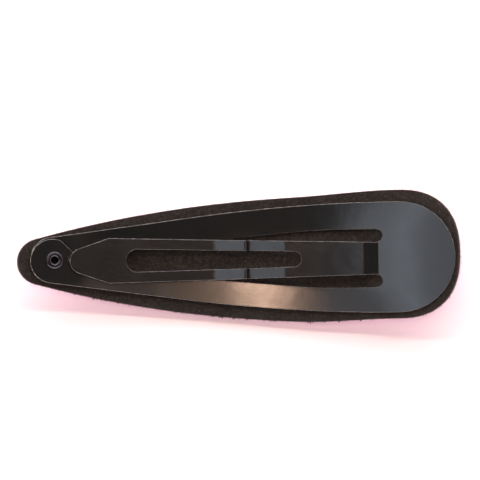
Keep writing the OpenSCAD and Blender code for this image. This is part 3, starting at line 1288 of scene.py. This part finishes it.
@dataclass
class Tongue:
    """The slotted tongue with its joggled root, its wave and its pointed nose.

    Attributes:
        plan: the blank's plan.
        build: how the layers lie.
        rounding: radius of its cut edges.
        rows: points across one bar beside the slot.
        end_count: stations in a part of a rounded end.
        hollow_count: stations round the hollow beside the root crease.
        bend_count: stations across a bend.
        landing_gap: air between the tongue and the steel under it where the wave ends.
        nose_gap: further air under the nose.
        joggle: height of the underside over the blank's at the joggle.
        step: height at the crisp fold beside the channel.
        rise: height of the channel's long slope, just past that fold.
        channel: height of the channel's floor.
        ridge: height of the ridge beside the channel.
        bends: half the bend at each row, as a share of the tongue's length.
        taut: how straight each run between two rows is: 1 for straight, 0 for bent like the arch.
        bar_step: longest distance between stations along the slot.
        root_run: metal between the root strip and the slot's end.
        bend_run: length of the root's bend; the end point worked out from it is not used.
        hollow_run: from the hollow's centre to the first station past it.
        slot_turn: half the angle of the slot's end that faces the root strip.
    """

    plan: Plan
    build: Build
    rounding: float = 0.1
    rows: int = 10
    end_count: int = 14
    hollow_count: int = 8
    bend_count: int = 7
    landing_gap: float = 0.05
    nose_gap: float = 0.15
    joggle: float = 1.32
    step: float = 1.34
    rise: float = 1.32
    channel: float = 0.51
    ridge: float = 1.655
    bends: tuple[float, ...] = (0.0, 0.004, 0.0015, 0.0015, 0.002, 0.006, 0.005, 0.055, 0.0)
    taut: tuple[float, ...] = (1.0, 0.5, 1.0, 1.0, 1.0, 1.0, 1.0, 1.0)
    bar_step: float = 0.7
    root_run: float = 0.9
    bend_run: float = 3.7
    hollow_run: float = 0.4
    slot_turn: float = 45.0

    @property
    def length(self) -> float:
        """From the root crease to the end of the nose."""
        return self.plan.crease_x - self.plan.nose_x

    def heights(self) -> np.ndarray:
        """Height of the underside over the blank's at each row, in the rows' order."""
        landing = self.build.steel + self.landing_gap
        nose = landing + self.build.lap_lift + self.nose_gap
        wave = [self.joggle, self.step, self.rise, self.channel, self.ridge]
        return np.array([0.0, *wave, landing, nose, nose])

    def places(self) -> np.ndarray:
        """Distance of each row from the root crease."""
        return np.array([row.value for row in Row]) * self.length

    def lift(self, distance: np.ndarray) -> np.ndarray:
        """Height of the underside over the blank's at distances from the root crease.

        The tongue isn't glued down, so a taut run goes straight from row to row while the arch sags
        under it: the product of the distances to both rows, over twice the arch's radius, is added
        to the line between their heights. A parabola lies across each bend.

        Args:
            distance: distances from the root crease towards the nose.

        Returns:
            The height at each.
        """
        rows, high = self.places(), self.heights()
        sag = np.array(self.taut) / (2 * self.build.arch_radius)
        bow = np.diff(rows) * sag
        turn = (np.diff(np.diff(high) / np.diff(rows)) + bow[:-1] + bow[1:])[None, :]
        half = np.array(self.bends)[1:-1][None, :] * self.length
        off = np.abs(distance[:, None] - rows[None, 1:-1])
        bent = np.where(off < half, turn * (half - off) ** 2 / (4 * np.maximum(half, TINY)), 0.0)
        run = np.clip(np.searchsorted(rows, distance) - 1, 0, len(rows) - 2)
        between = np.maximum((distance - rows[run]) * (rows[run + 1] - distance), 0)
        return np.interp(distance, rows, high) + between * sag[run] + bent.sum(axis=1)

    def height(self, plan: np.ndarray, lap: np.ndarray) -> np.ndarray:
        """Height of the top face: the wave's level on the arch, and the sheet's thickness."""
        lift = self.lift(self.plan.crease_x - plan[:, 0])
        return self.build.height(plan[:, 0], self.build.steel_level + self.build.steel + lift)

    def stations(self, start: float, end: float) -> np.ndarray:
        """Places along the clip that take in every bend, with even runs between them.

        Args:
            start: the first place.
            end: the last one, nearer the nose.

        Returns:
            The places, from the first to the last.
        """
        rows = self.plan.crease_x - self.places()[1:-1]
        half = np.array(self.bends)[1:-1] * self.length
        spread = np.linspace(-1, 1, self.bend_count)[None, :]
        across = (rows[:, None] + half[:, None] * spread).ravel()
        even = np.arange(end, start, self.bar_step)
        near = np.abs(even[:, None] - across[None, :]).min(axis=1) < self.bar_step / 3
        found = np.concatenate([[start, end], across, even[~near]])
        return np.unique(found[(found <= start) & (found >= end)])[::-1]

    def side(self, x: np.ndarray) -> np.ndarray:
        """Half width of the tongue: it widens evenly from its root to its shoulders."""
        p = self.plan
        ends = [p.nose_x + p.nose_len, p.crease_x - p.root_gap]
        return np.interp(x, ends, [p.tongue_w / 2, p.root_w / 2])

    def cut(self) -> bpy.types.Object:
        """Cuts the tongue out as a root strip and a ring round its slot, and lays it on its wave.

        Returns:
            The object.
        """
        p = self.plan
        sheet = Sheet(self.build.steel, self.rounding, self.height)
        shift = np.array([0.0, self.build.axis_y + p.tongue_y])
        root_r, nose_r = p.slot_root_w / 2, p.slot_nose_w / 2
        slot_root = p.crease_x - p.slot_root_web - root_r
        slot_nose = p.nose_x + p.slot_nose_web + nose_r
        joint_x = slot_root + root_r + self.root_run

        corner, way_up = p.root_corner(1)
        _, way_down = p.root_corner(-1)
        corner = corner - np.array([0.0, p.tongue_y])
        centre = np.array([p.slot_x, corner[1] + p.slot_r * way_up[1]])
        begin = np.degrees(np.arctan2(corner[1] - centre[1], corner[0] - centre[0]))
        hollow = arc(tuple(centre), p.slot_r, begin, -90, self.hollow_count)
        strip_x = self.stations(p.slot_x - self.hollow_run, joint_x)
        strip_side = np.column_stack([strip_x, self.side(strip_x)])
        strip = chain(hollow, straight(hollow[-1], strip_side[0], 2), strip_side)
        bar_x = self.stations(slot_root, slot_nose)
        shoulder_x = p.nose_x + p.nose_len
        near = np.linspace(joint_x, slot_root, self.end_count)
        far = np.linspace(slot_nose, shoulder_x, self.end_count)
        fall = np.degrees(np.arctan2(p.tongue_w / 2 - p.nose_r, p.nose_len - p.nose_r))
        nose = arc((p.nose_x + p.nose_r, 0.0), p.nose_r, 90 + fall, 180, self.end_count)
        slant = straight((shoulder_x, p.tongue_w / 2), nose[0], self.end_count)
        sides = [np.column_stack([x, self.side(x)]) for x in (near, bar_x, far)]
        upper = chain(strip, *sides, slant, nose)
        whole = chain(upper * FLIP, upper[::-1]) + shift
        rim = Rim(whole, first=way_down, last=way_up)
        sheet.edge(rim)
        inset = rim.inset(self.rounding)
        low, high = inset[: len(upper)], inset[len(upper) - 1 :][::-1]

        count = len(strip)
        root = ruled(low[:count], high[:count], 2 * self.rows)
        sheet.face(root)

        slot_rim, slot_inset = self.slot(slot_root, slot_nose, root_r, nose_r, bar_x, shift)
        sheet.edge(slot_rim)
        ring = np.concatenate([high[count - 1 :], low[count - 1 :][::-1][1:], root[-1, 1:-1]])
        sheet.face(ruled(slot_inset, ring, self.rows), looped=True)
        return sheet.build("slotted_tongue")

    def slot(
        self,
        root_x: float,
        nose_x: float,
        root_r: float,
        nose_r: float,
        bar_x: np.ndarray,
        shift: np.ndarray,
    ) -> tuple[Rim, np.ndarray]:
        """The slot's rim, with as many stations as the tongue's edge has round it.

        Args:
            root_x: centre of its end towards the root.
            nose_x: centre of its end towards the nose.
            root_r: radius of the first end.
            nose_r: radius of the second end.
            bar_x: stations along its long sides.
            shift: how far the tongue is moved in plan.

        Returns:
            The rim, and the same line moved into the metal.
        """
        turn = self.slot_turn
        half = np.interp(bar_x, [nose_x, root_x], [nose_r, root_r])
        bar = np.column_stack([bar_x, half])
        near = arc((root_x, 0.0), root_r, turn, 90, self.end_count)
        far = arc((nose_x, 0.0), nose_r, 90, 180, 3 * self.end_count - 2)
        upper = chain(near, bar, far)
        across = arc((root_x, 0.0), root_r, -turn, turn, 2 * self.rows)[1:-1]
        line = np.concatenate([upper, (upper * FLIP)[::-1][1:], across]) + shift
        rim = Rim(line, closed=True)
        return rim, rim.inset(self.rounding)

    def make(self, finish: bpy.types.Material) -> None:
        """Builds and dresses the tongue.

        Args:
            finish: its material.
        """
        made = self.cut()
        made.data.materials.append(finish)
        crease = self.plan.crease_x
        high = float(self.build.height(np.array(crease), self.build.steel_level))
        start = Vector((crease + self.rounding, 0.0, high)) * MM
        end = Vector((crease - self.bend_run, 0.0, high)) * MM
        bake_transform(made)
        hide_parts("tongue")


@dataclass
class Rivet:
    """The hollow eyelet with a rolled rim that holds the two tabs together.

    Attributes:
        plan: the blank's plan.
        build: how the layers lie.
        rim_h: height of the rolled rim.
        rim_power: how full the rim's shoulders are, where 1 is an ellipse.
        rim_count: points along the rim's section.
        foot_t: thickness of the foot under the tabs.
        around: stations round it.
    """

    plan: Plan
    build: Build
    rim_h: float = 0.42
    rim_power: float = 0.7
    rim_count: int = 40
    foot_t: float = 0.25
    around: int = 96

    def profile(self) -> np.ndarray:
        """Half section of the rivet: shank and foot below, and a rolled rim over them.

        The rim is a half ellipse whose height goes by a power of the angle's sine.

        Returns:
            Radius and height of each point, from the foot's inner corner outwards and up.
        """
        p, gap = self.plan, self.plan.rivet_gap
        top = self.build.lap_lift + self.build.steel + gap
        foot = -gap - self.foot_t
        turn = np.linspace(0, np.pi, self.rim_count)
        middle, half = (p.rivet_r + p.eye_r) / 2, (p.rivet_r - p.eye_r) / 2
        over = self.rim_h * np.sin(turn) ** self.rim_power
        rim = np.stack([middle + half * np.cos(turn), top + over], axis=1)
        shank, reach = p.eye_r + p.shank_wall, p.rivet_r - gap
        outside = [(p.eye_r, foot), (reach, foot), (reach, -gap), (shank, -gap), (shank, top)]
        return np.concatenate([outside, rim])

    def make(self, finish: bpy.types.Material) -> None:
        """Turns the profile round the rivet's axis, stands it square on the arch and dresses it.

        Args:
            finish: its material.
        """
        line = self.profile()
        before, after = np.roll(line, 1, axis=0), np.roll(line, -1, axis=0)
        way = unit(line - before) + unit(after - line)
        side = np.stack([way[:, 1], -way[:, 0]], axis=1)
        turn = np.linspace(0, 2 * np.pi, self.around, endpoint=False)[None, :]
        cos, sin = np.cos(turn), np.sin(turn)

        def turned(section: np.ndarray) -> np.ndarray:
            """A section's radius and height carried round the axis."""
            out, up = section[:, :1], section[:, 1:]
            return np.stack([out * cos, out * sin, up + 0 * cos], axis=-1).transpose(1, 0, 2)

        level = self.build.steel_level
        lean = -self.build.lean(self.plan.tip_x, level)
        level_part, fall = np.cos(lean), np.sin(lean)
        tilt = np.array([[level_part, 0, fall], [0, 1, 0], [-fall, 0, level_part]])
        height = self.build.height(np.array(self.plan.tip_x), level)
        foot = np.array([self.plan.tip_x, self.build.axis_y, height])
        closed = np.concatenate([line, line[:1]])
        facing = np.concatenate([side, side[:1]])
        points = (turned(closed) @ tilt.T + foot).reshape(-1, 3)
        ways = (turned(facing) @ tilt.T).reshape(-1, 3)
        made = piece("eyelet", points, ways, quads(self.around, len(closed), 0, True))
        made.data.materials.append(finish)
        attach(made, "clip")
        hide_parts("rivet")


@dataclass
class Backing:
    """The suede pad and the fabric front, which share one lopsided outline.

    Attributes:
        plan: the blank's plan.
        build: how the layers lie.
        side_margin: how far the suede reaches past the head's sides.
        tip_extra: radius of its tip over that of the tabs.
        fullness: power of its long edges' curve.
        end_power: squareness of its round end.
        offset_y: how far its narrow part lies off the centre line.
        skew: how much further over its wide end lies.
        skew_share: where that drift begins, as a share of the way from the head to the tip.
        cover_inset: how far the fabric stays inside the suede's edge.
        pad_rounding: radius of the suede's edges.
        cover_rounding: radius of the fabric's edges.
        tip_count: points that trace a quarter of the tip.
        side_count: points that trace a side.
        end_count: points that trace half the round end.
        edge_count: stations in half the outline.
        rings: rows of points from the middle line to the edge.
        spine_tip: how far the middle line stops short of the tip.
        spine_end: how far it stops short of the round end.
    """

    plan: Plan
    build: Build
    side_margin: float = 1.6
    tip_extra: float = 0.2
    fullness: float = 2.4
    end_power: float = 2.4
    offset_y: float = -0.25
    skew: float = 0.76
    skew_share: float = 0.3
    cover_inset: float = 0.3
    pad_rounding: float = 0.22
    cover_rounding: float = 0.15
    tip_count: int = 40
    side_count: int = 150
    end_count: int = 70
    edge_count: int = 420
    rings: int = 30
    spine_tip: float = 5.0
    spine_end: float = 9.0

    def middle(self, x: np.ndarray) -> np.ndarray:
        """The outline's middle line, which drifts to one side towards the head.

        Args:
            x: places along the clip.

        Returns:
            Where the line lies across the clip at each.
        """
        p = self.plan
        start = p.head_x + (p.tip_x - p.head_x) * self.skew_share
        drift = self.skew * smooth((x - start) / (p.head_x - start))
        return self.build.axis_y + self.offset_y + drift

    def outline(self, inset: float) -> np.ndarray:
        """Outline of a layer: a round tip, sides that follow a power curve, and a squarish end.

        Args:
            inset: how far the layer stays inside the suede's edge.

        Returns:
            Closed run of points with the layer on its right.
        """
        p = self.plan
        radius = p.tip_r + self.tip_extra - inset
        width = p.head_r + self.side_margin - inset
        tip_x = p.tip_r + self.tip_extra - p.pad_length / 2
        end = p.pad_length / 2 - inset - p.head_x
        lean = np.arctan((width - radius) * self.fullness / (p.head_x - tip_x))
        start_x, start_w = tip_x - radius * np.sin(lean), radius * np.cos(lean)
        tip = arc((tip_x, 0.0), radius, 180, 90 + np.degrees(lean), self.tip_count)
        x = np.linspace(start_x, p.head_x, self.side_count)
        side = width - (width - start_w) * ((p.head_x - x) / (p.head_x - start_x)) ** self.fullness
        turn = np.linspace(np.pi / 2, 0, self.end_count)
        square = 2 / self.end_power
        end_x = p.head_x + end * np.abs(np.cos(turn)) ** square
        round_end = np.column_stack([end_x, width * np.sin(turn) ** square])
        half = respaced(chain(tip, np.column_stack([x, side]), round_end), self.edge_count)
        both = np.concatenate([half, (half * FLIP)[::-1][1:-1]])
        return both + np.column_stack([np.zeros(len(both)), self.middle(both[:, 0])])

    def layer(
        self, name: str, inset: float, level: float, thickness: float, rounding: float
    ) -> bpy.types.Object:
        """Cuts one layer and lays it on the arch.

        Args:
            name: the object's name.
            inset: how far it stays inside the suede's edge.
            level: level of its underside.
            thickness: how thick it is.
            rounding: radius of its edges.

        Returns:
            The object.
        """
        rim = Rim(self.outline(inset), closed=True)
        edge = rim.inset(rounding)
        reach = self.plan.pad_length / 2
        spine_x = np.clip(rim.points[:, 0], self.spine_tip - reach, reach - self.spine_end)
        spine = np.column_stack([spine_x, self.middle(spine_x)])

        def height(plan: np.ndarray, lap: np.ndarray) -> np.ndarray:
            """Height of the layer's underside."""
            return self.build.height(plan[:, 0], level)

        sheet = Sheet(thickness, rounding, height, held_at=thickness)
        sheet.face(ruled(spine, edge, self.rings), looped=True)
        sheet.edge(rim)
        return sheet.build(name)

    def cut(self, inset: float, level: float) -> tuple[Pair, float]:
        """Size and area of a layer before it was laid on the arch.

        A place's distance along the flat layer is the arch's radius there times the arcsine of its
        distance from the arch's middle over that radius.

        Args:
            inset: how far the layer stays inside the suede's edge.
            level: level of its middle.

        Returns:
            Width and length in metres, and area in square metres.
        """
        outline = self.outline(inset)
        radius = self.build.arch_radius - level
        along = radius * np.arcsin((outline[:, 0] - self.build.arch_middle) / radius) * MM
        across = outline[:, 1] * MM
        area = abs(np.sum(along * np.roll(across, -1) - np.roll(along, -1) * across)) / 2
        return (float(np.ptp(across)), float(np.ptp(along))), float(area)

    def make(self, suede: bpy.types.Material, fabric: bpy.types.Material) -> None:
        """Builds and dresses the suede and the fabric front.

        Args:
            suede: material of the suede.
            fabric: material of the fabric.
        """
        build = self.build
        pad = self.layer("suede_backing", 0.0, build.pad_level, build.pad, self.pad_rounding)
        cover = self.layer("fabric_front", self.cover_inset, 0.0, build.cover, self.cover_rounding)
        for made, finish, node, slot in (
            (pad, suede, "suede_pad", "suede"),
            (cover, fabric, "front_cover", "front_fabric"),
        ):
            made.data.materials.append(finish)
            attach(made, "clip")
            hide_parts(node)
        size, area = self.cut(0.0, build.pad_level + build.pad / 2)
        size, area = self.cut(self.cover_inset, build.cover / 2)


@dataclass
class Fibres:
    """Fibres and tufts that stand out of the suede's cut edge, and lint that lies on its face.

    Attributes:
        backing: the suede that they belong to.
        seed: start of the random numbers.
        edge_count: fibres along the edge.
        lint_count: pieces of lint on the face.
        length: shortest and longest length of an edge fibre.
        short: power that makes most of them short.
        slide: how far its root lies from a station of the outline.
        level: lowest and highest place of its root, as shares of the suede's thickness.
        spread: how much it leans along the edge, and up or down.
        rooted: how deep its root lies in the suede.
        radius: its thickest radius.
        curl: how much a fibre or a piece of lint bends, as a share of its length.
        lint_length: shortest and longest length of a piece of lint.
        lint_short: power that makes most of them short.
        lint_reach: how far they lie over the suede's margin, as a share of it.
        lint_lift: how steeply they rise at most.
        lint_gap: how far their roots lie over the suede.
        lint_radius: their thickest radius.
        tuft_count: clumps of thicker fibres along the lower edge.
        tuft_size: fibres in a clump.
        tuft_level: lowest and highest place of its roots, as shares of the suede's thickness.
        tuft_length: shortest and longest length of a clump's fibre.
        tuft_radius: radius of one at its root.
        tuft_width: how far its root lies from the clump's middle.
        tuft_spread: how much it leans along the edge, and up or down.
        tuft_curl: how far it bends.
        tuft_rooted: how deep its root lies in the suede.
        stations: rings of points along a fibre.
        swelling: how soon a fibre has its full radius, as its length over that run.
        aside: a way that no fibre has, from which the sides of its section are worked out.
    """

    backing: Backing
    seed: int = 7
    edge_count: int = 2600
    lint_count: int = 420
    length: Pair = (0.1, 0.42)
    short: int = 3
    slide: float = 0.1
    level: Pair = (0.1, 0.97)
    spread: Pair = (0.55, 0.35)
    rooted: float = 0.06
    radius: float = 0.022
    curl: float = 0.35
    lint_length: Pair = (0.25, 0.8)
    lint_short: int = 2
    lint_reach: float = 0.6
    lint_lift: float = 0.12
    lint_gap: float = 0.01
    lint_radius: float = 0.011
    tuft_count: int = 24
    tuft_size: int = 10
    tuft_level: Pair = (0.5, 0.95)
    tuft_length: Pair = (0.16, 0.38)
    tuft_radius: float = 0.06
    tuft_width: float = 0.07
    tuft_spread: Pair = (0.45, 0.25)
    tuft_curl: float = 0.08
    tuft_rooted: float = 0.08
    stations: int = 5
    swelling: float = 20.0
    aside: Triple = (0.31, 0.17, 0.93)

    def strands(
        self,
        name: str,
        root: np.ndarray,
        way: np.ndarray,
        bend: np.ndarray,
        radius: float | np.ndarray,
    ) -> bpy.types.Object:
        """Makes bent strands with three sides that taper to a point at both ends.

        A strand runs from its root along its way, plus its bend times the square of the share of
        the run. Its radius grows at once from nothing and then falls to nothing.

        Args:
            name: the object's name.
            root: where each strand starts.
            way: the way and length of each strand.
            bend: how far each strand's end is bent aside.
            radius: the thickest radius, of all strands or of each.

        Returns:
            The object with all strands.
        """
        share = np.linspace(0, 1, self.stations)[None, :, None]
        middle = root[:, None] + way[:, None] * share + bend[:, None] * share**2
        along = unit(way[:, None] + 2 * bend[:, None] * share)
        first = unit(np.cross(along, np.array(self.aside)))
        second = np.cross(along, first)
        taper = np.minimum(1, self.swelling * share) * (1 - share) ** 0.5
        thick = np.reshape(radius, (-1, 1, 1)) * taper
        turn = np.radians(np.array([0.0, 120.0, 240.0]))[None, None, :, None]
        out = np.cos(turn) * first[:, :, None] + np.sin(turn) * second[:, :, None]
        points = middle[:, :, None] + thick[:, :, None] * out
        count, rings = root.shape[0], self.stations
        number = np.arange(count * rings * 3).reshape(count, rings, 3)
        turned = np.roll(number, -1, axis=2)
        corners = (number[:, :-1], number[:, 1:], turned[:, 1:], turned[:, :-1])
        cells = np.stack([corner.ravel() for corner in corners], axis=1)
        return piece(name, points.reshape(-1, 3), out.reshape(-1, 3), cells)

    def standing(
        self,
        rim: Rim,
        pick: np.ndarray,
        places: tuple[np.ndarray, float, np.ndarray],
        ways: tuple[np.ndarray, np.ndarray, np.ndarray],
    ) -> tuple[np.ndarray, np.ndarray]:
        """Roots and ways of fibres that stand out of the suede's cut edge.

        A way is the direction out of the edge plus its lean times the direction along the edge,
        with its lift as height, drawn out to its length.

        Args:
            rim: the suede's outline.
            pick: each fibre's station on it.
            places: how far its root lies along the edge and in the suede, and how far up it.
            ways: its lean, lift and length.

        Returns:
            Three numbers for each root and each way.
        """
        build = self.backing.build
        slide, rooted, share = places
        lean, lift, size = ways
        out = unit(rim.outward()[pick])
        along = np.stack([-out[:, 1], out[:, 0]], axis=1)
        plan = rim.points[pick] + slide * along - rooted * out
        level = build.pad_level + build.pad * share
        root = np.column_stack([plan, build.height(plan[:, 0], level)])
        way = np.column_stack([out + lean * along, lift])
        return root, way * (size / np.linalg.norm(way, axis=1, keepdims=True))

    def edge(self, random: np.random.Generator) -> bpy.types.Object:
        """Fibres at random places along the cut edge, and at random heights of it, with the tufts.

        Args:
            random: source of the random numbers.

        Returns:
            The object.
        """
        rim = Rim(self.backing.outline(0.0), closed=True)
        column = (self.edge_count, 1)
        pick = random.integers(0, len(rim.points), self.edge_count)
        slide = random.uniform(-self.slide, self.slide, column)
        share = random.uniform(*self.level, self.edge_count)
        least, most = self.length
        size = least + (most - least) * random.random(column) ** self.short
        lean, lift = (random.normal(0, spread, column) for spread in self.spread)
        root, way = self.standing(rim, pick, (slide, self.rooted, share), (lean, lift, size))
        bend = random.normal(0, self.curl, (self.edge_count, 3)) * size
        tufts = self.tufts(random, rim)
        radius = np.repeat([self.radius, self.tuft_radius], [len(root), len(tufts[0])])
        root, way, bend = (np.concatenate(both) for both in zip((root, way, bend), tufts))
        return self.strands("suede_edge_fibres", root, way, bend, radius)

    def tufts(
        self, random: np.random.Generator, rim: Rim
    ) -> tuple[np.ndarray, np.ndarray, np.ndarray]:
        """Fibres of the clumps that the cut left along the lower edge.

        Args:
            random: source of the random numbers.
            rim: the suede's outline.

        Returns:
            Roots, ways and bends.
        """
        p = self.backing.plan
        x, y = rim.points.T
        lower = (y < self.backing.middle(x)) & (x > p.nose_x) & (x < p.head_x)
        pick = np.repeat(random.choice(np.flatnonzero(lower), self.tuft_count), self.tuft_size)
        count = len(pick)
        slide = random.normal(0, self.tuft_width, (count, 1))
        share = random.uniform(*self.tuft_level, count)
        lean, lift = (random.normal(0, spread, (count, 1)) for spread in self.tuft_spread)
        size = random.uniform(*self.tuft_length, (count, 1))
        root, way = self.standing(rim, pick, (slide, self.tuft_rooted, share), (lean, lift, size))
        return root, way, random.normal(0, self.tuft_curl, (count, 3))

    def lint(self, random: np.random.Generator) -> bpy.types.Object:
        """Lint at random places of the suede's face, lying almost flat.

        Args:
            random: source of the random numbers.

        Returns:
            The object.
        """
        build, p, count = self.backing.build, self.backing.plan, self.lint_count
        x = random.uniform(p.nose_x, p.crease_x, count)
        reach = p.flank_y(x) + self.backing.side_margin * self.lint_reach
        y = self.backing.middle(x) + reach * random.uniform(-1, 1, count)
        level = build.pad_level + build.pad + self.lint_gap
        root = np.column_stack([x, y, build.height(x, level)])
        turn = random.uniform(0, 2 * np.pi, count)
        least, most = self.lint_length
        size = (least + (most - least) * random.random(count) ** self.lint_short)[:, None]
        lift = random.uniform(0.0, self.lint_lift, count)
        way = np.column_stack([np.cos(turn), np.sin(turn), lift]) * size
        bend = np.column_stack([random.normal(0, self.curl, (count, 2)), np.zeros(count)]) * size
        return self.strands("suede_lint", root, way, bend, self.lint_radius)

    def make(self, suede: bpy.types.Material, lint: bpy.types.Material) -> None:
        """Builds and dresses the fibres and the lint.

        Args:
            suede: material of the fibres.
            lint: material of the lint.
        """
        random = np.random.default_rng(self.seed)
        for made, finish in ((self.edge(random), suede), (self.lint(random), lint)):
            made.data.materials.append(finish)
            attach(made, "clip")


# Studio


class Face(Enum):
    """Outline of a lamp's face, with the share of its width times height that it fills."""

    BOX = ("RECTANGLE", 1.0)
    ROUND = ("ELLIPSE", np.pi / 4)


@dataclass(frozen=True)
class Lamp:
    """A flat soft lamp.

    Attributes:
        name: its name.
        azimuth: the side that it stands on, in degrees from +X towards +Y.
        from_up: its angle from straight up, in degrees.
        distance: how far it is from the clip, in metres.
        size: its width and height, in metres.
        radiance: how bright its face is, where the white board is about 1.
        tint: its colour.
        face: outline of its face.
        glossy_only: whether it shows in glossy faces alone.
    """

    name: str
    azimuth: float
    from_up: float
    distance: float
    size: Pair
    radiance: float
    tint: Triple
    face: Face = Face.BOX
    glossy_only: bool = False

    def make(self) -> None:
        """Hangs the lamp, facing the clip, with a power of pi times its radiance and area."""
        data = bpy.data.lights.new(self.name, "AREA")
        data.shape, filled = self.face.value
        data.size, data.size_y = self.size
        area = self.size[0] * self.size[1] * filled
        data.energy = np.pi * self.radiance * area
        data.color = self.tint
        made = bpy.data.objects.new(self.name, data)
        bpy.context.scene.collection.objects.link(made)
        side, up = np.radians(self.azimuth), np.radians(self.from_up)
        way = Vector((np.sin(up) * np.cos(side), np.sin(up) * np.sin(side), np.cos(up)))
        made.location = way * self.distance
        made.rotation_euler = way.to_track_quat("Z", "Y").to_euler()
        made.visible_camera = False
        made.visible_diffuse = not self.glossy_only


@dataclass
class Studio:
    """White board, lamps and camera.

    Attributes:
        board_half: half the board's width, in metres.
        horizon: colour of the room round the horizon.
        horizon_top: sine of the elevation at which the horizon's light has faded.
        overhead: colour of the room overhead.
        camera_distance: from the camera to the clip, in metres.
        camera_elevation: angle of the view over the board, in degrees.
        camera_roll: how far the picture is turned, in degrees.
        sensor_width: width of the camera's sensor, in millimetres.
        view_width: width of the board that the picture shows, in millimetres.
        aim: what the picture's centre shows, in millimetres.
    """

    board_half: float = 12.0
    horizon: Triple = (7.2, 5.2, 5.7)
    horizon_top: float = 0.42
    overhead: Triple = (0.11, 0.104, 0.096)
    camera_distance: float = 1.2
    camera_elevation: float = 89.2
    camera_roll: float = 0.57
    sensor_width: float = 36.0
    view_width: float = 85.15
    aim: Triple = (0.29, 3.02, 3.0)

    def board(self) -> None:
        """Lays the white board under the clip, as a grid of two by two points."""
        ends = np.array([-self.board_half, self.board_half]) / MM
        x, y = np.meshgrid(ends, ends, indexing="ij")
        points = np.stack([x, y, 0 * x], axis=-1).reshape(-1, 3)
        facing = np.tile([0.0, 0.0, 1.0], (4, 1))
        made = piece("white_board", points, facing, quads(2, 2, 0, False))
        made.data.materials.append(WhiteBoard().make())

    def lamps(self) -> None:
        """Hangs the lamps: a long strip and a window behind the clip, and soft lamps overhead."""
        warm, pale = (1.0, 0.65, 0.47), (1.0, 0.93, 0.8)
        cool, clear = (0.78, 0.86, 1.0), (0.8, 0.88, 1.0)
        for lamp in (
            Lamp("key_strip", 90.0, 34.5, 1.6, (3.6, 0.1), 19.0, (1.0, 0.9, 0.78)),
            Lamp("low_window", 90.0, 60.0, 1.6, (3.6, 1.0), 3.4, (0.94, 0.98, 1.1)),
            Lamp("front_strip", 270.0, 55.0, 1.6, (3.6, 0.5), 9.0, pale, glossy_only=True),
            Lamp("cool_softbox", 187.0, 24.2, 1.6, (0.56, 0.33), 1.98, clear, Face.ROUND),
            Lamp("cool_wall", 180.0, 38.5, 1.6, (0.8, 0.72), 1.0, cool),
            Lamp("cool_panel", 178.0, 37.0, 1.6, (0.22, 0.46), 0.45, cool),
            Lamp("cool_fill", 150.0, 23.5, 1.6, (0.3, 0.42), 0.86, (0.82, 0.88, 1.0)),
            Lamp("warm_lamp", 120.0, 8.5, 1.5, (0.2, 0.18), 18.5, warm),
            Lamp("warm_glow", 116.0, 11.6, 1.55, (0.48, 0.22), 2.3, warm),
            Lamp("warm_tail", 55.0, 13.9, 1.6, (0.42, 0.47), 0.86, warm),
            Lamp("warm_end", 64.0, 11.0, 1.6, (0.21, 0.4), 1.05, warm),
            Lamp("warm_side", 28.0, 21.5, 1.6, (0.42, 0.42), 0.74, (1.0, 0.74, 0.64)),
        ):
            lamp.make()

    def world(self) -> None:
        """Lights the room: bright round the horizon and dim overhead."""
        world = bpy.data.worlds.new("room")
        bpy.context.scene.world = world
        paint = Paint(world)
        way = paint.node("ShaderNodeTexCoord").outputs["Generated"]
        up = paint.wire(paint.node("ShaderNodeSeparateXYZ", {"Vector": way}), "Z")
        tone = paint.blend(up.eased(0.0, self.horizon_top), self.horizon, self.overhead)
        shader = paint.node("ShaderNodeBackground", {"Color": tone, "Strength": 1.0})
        paint.finish(shader, "ShaderNodeOutputWorld")

    def camera(self) -> None:
        """Hangs the camera where the photo was taken from, almost straight over the clip."""
        data = bpy.data.cameras.new("camera")
        data.sensor_width = self.sensor_width
        data.lens = data.sensor_width * self.camera_distance / (self.view_width * MM)
        made = bpy.data.objects.new("camera", data)
        bpy.context.scene.collection.objects.link(made)
        up = np.radians(self.camera_elevation)
        back = Vector((0.0, -np.cos(up), np.sin(up)))
        made.location = Vector(self.aim) * MM + back * self.camera_distance
        made.rotation_euler = (-back).to_track_quat("-Z", "Y").to_euler()
        made.rotation_euler.rotate_axis("Z", -np.radians(self.camera_roll))
        bpy.context.scene.camera = made

    def make(self) -> None:
        """Sets up the whole studio."""
        self.camera()
        self.board()
        self.lamps()
        self.world()
        bpy.context.scene.view_settings.view_transform = "Standard"


def main() -> None:
    """Builds the studio and then the clip, from its front up."""
    logging.basicConfig(level=logging.INFO, format="%(message)s")
    Studio().make()
    build, plan = Build(), Plan()
    lacquer = Lacquer().make()
    suede, backing = Suede().make(), Backing(plan, build)
    backing.make(suede, FrontFabric().make())
    Fibres(backing).make(suede, Lint().make())
    SpringFrame(plan, build).make(lacquer)
    Tongue(plan, build).make(lacquer)
    Rivet(plan, build).make(DarkPlate().make())


if __name__ == "__main__":
    main()
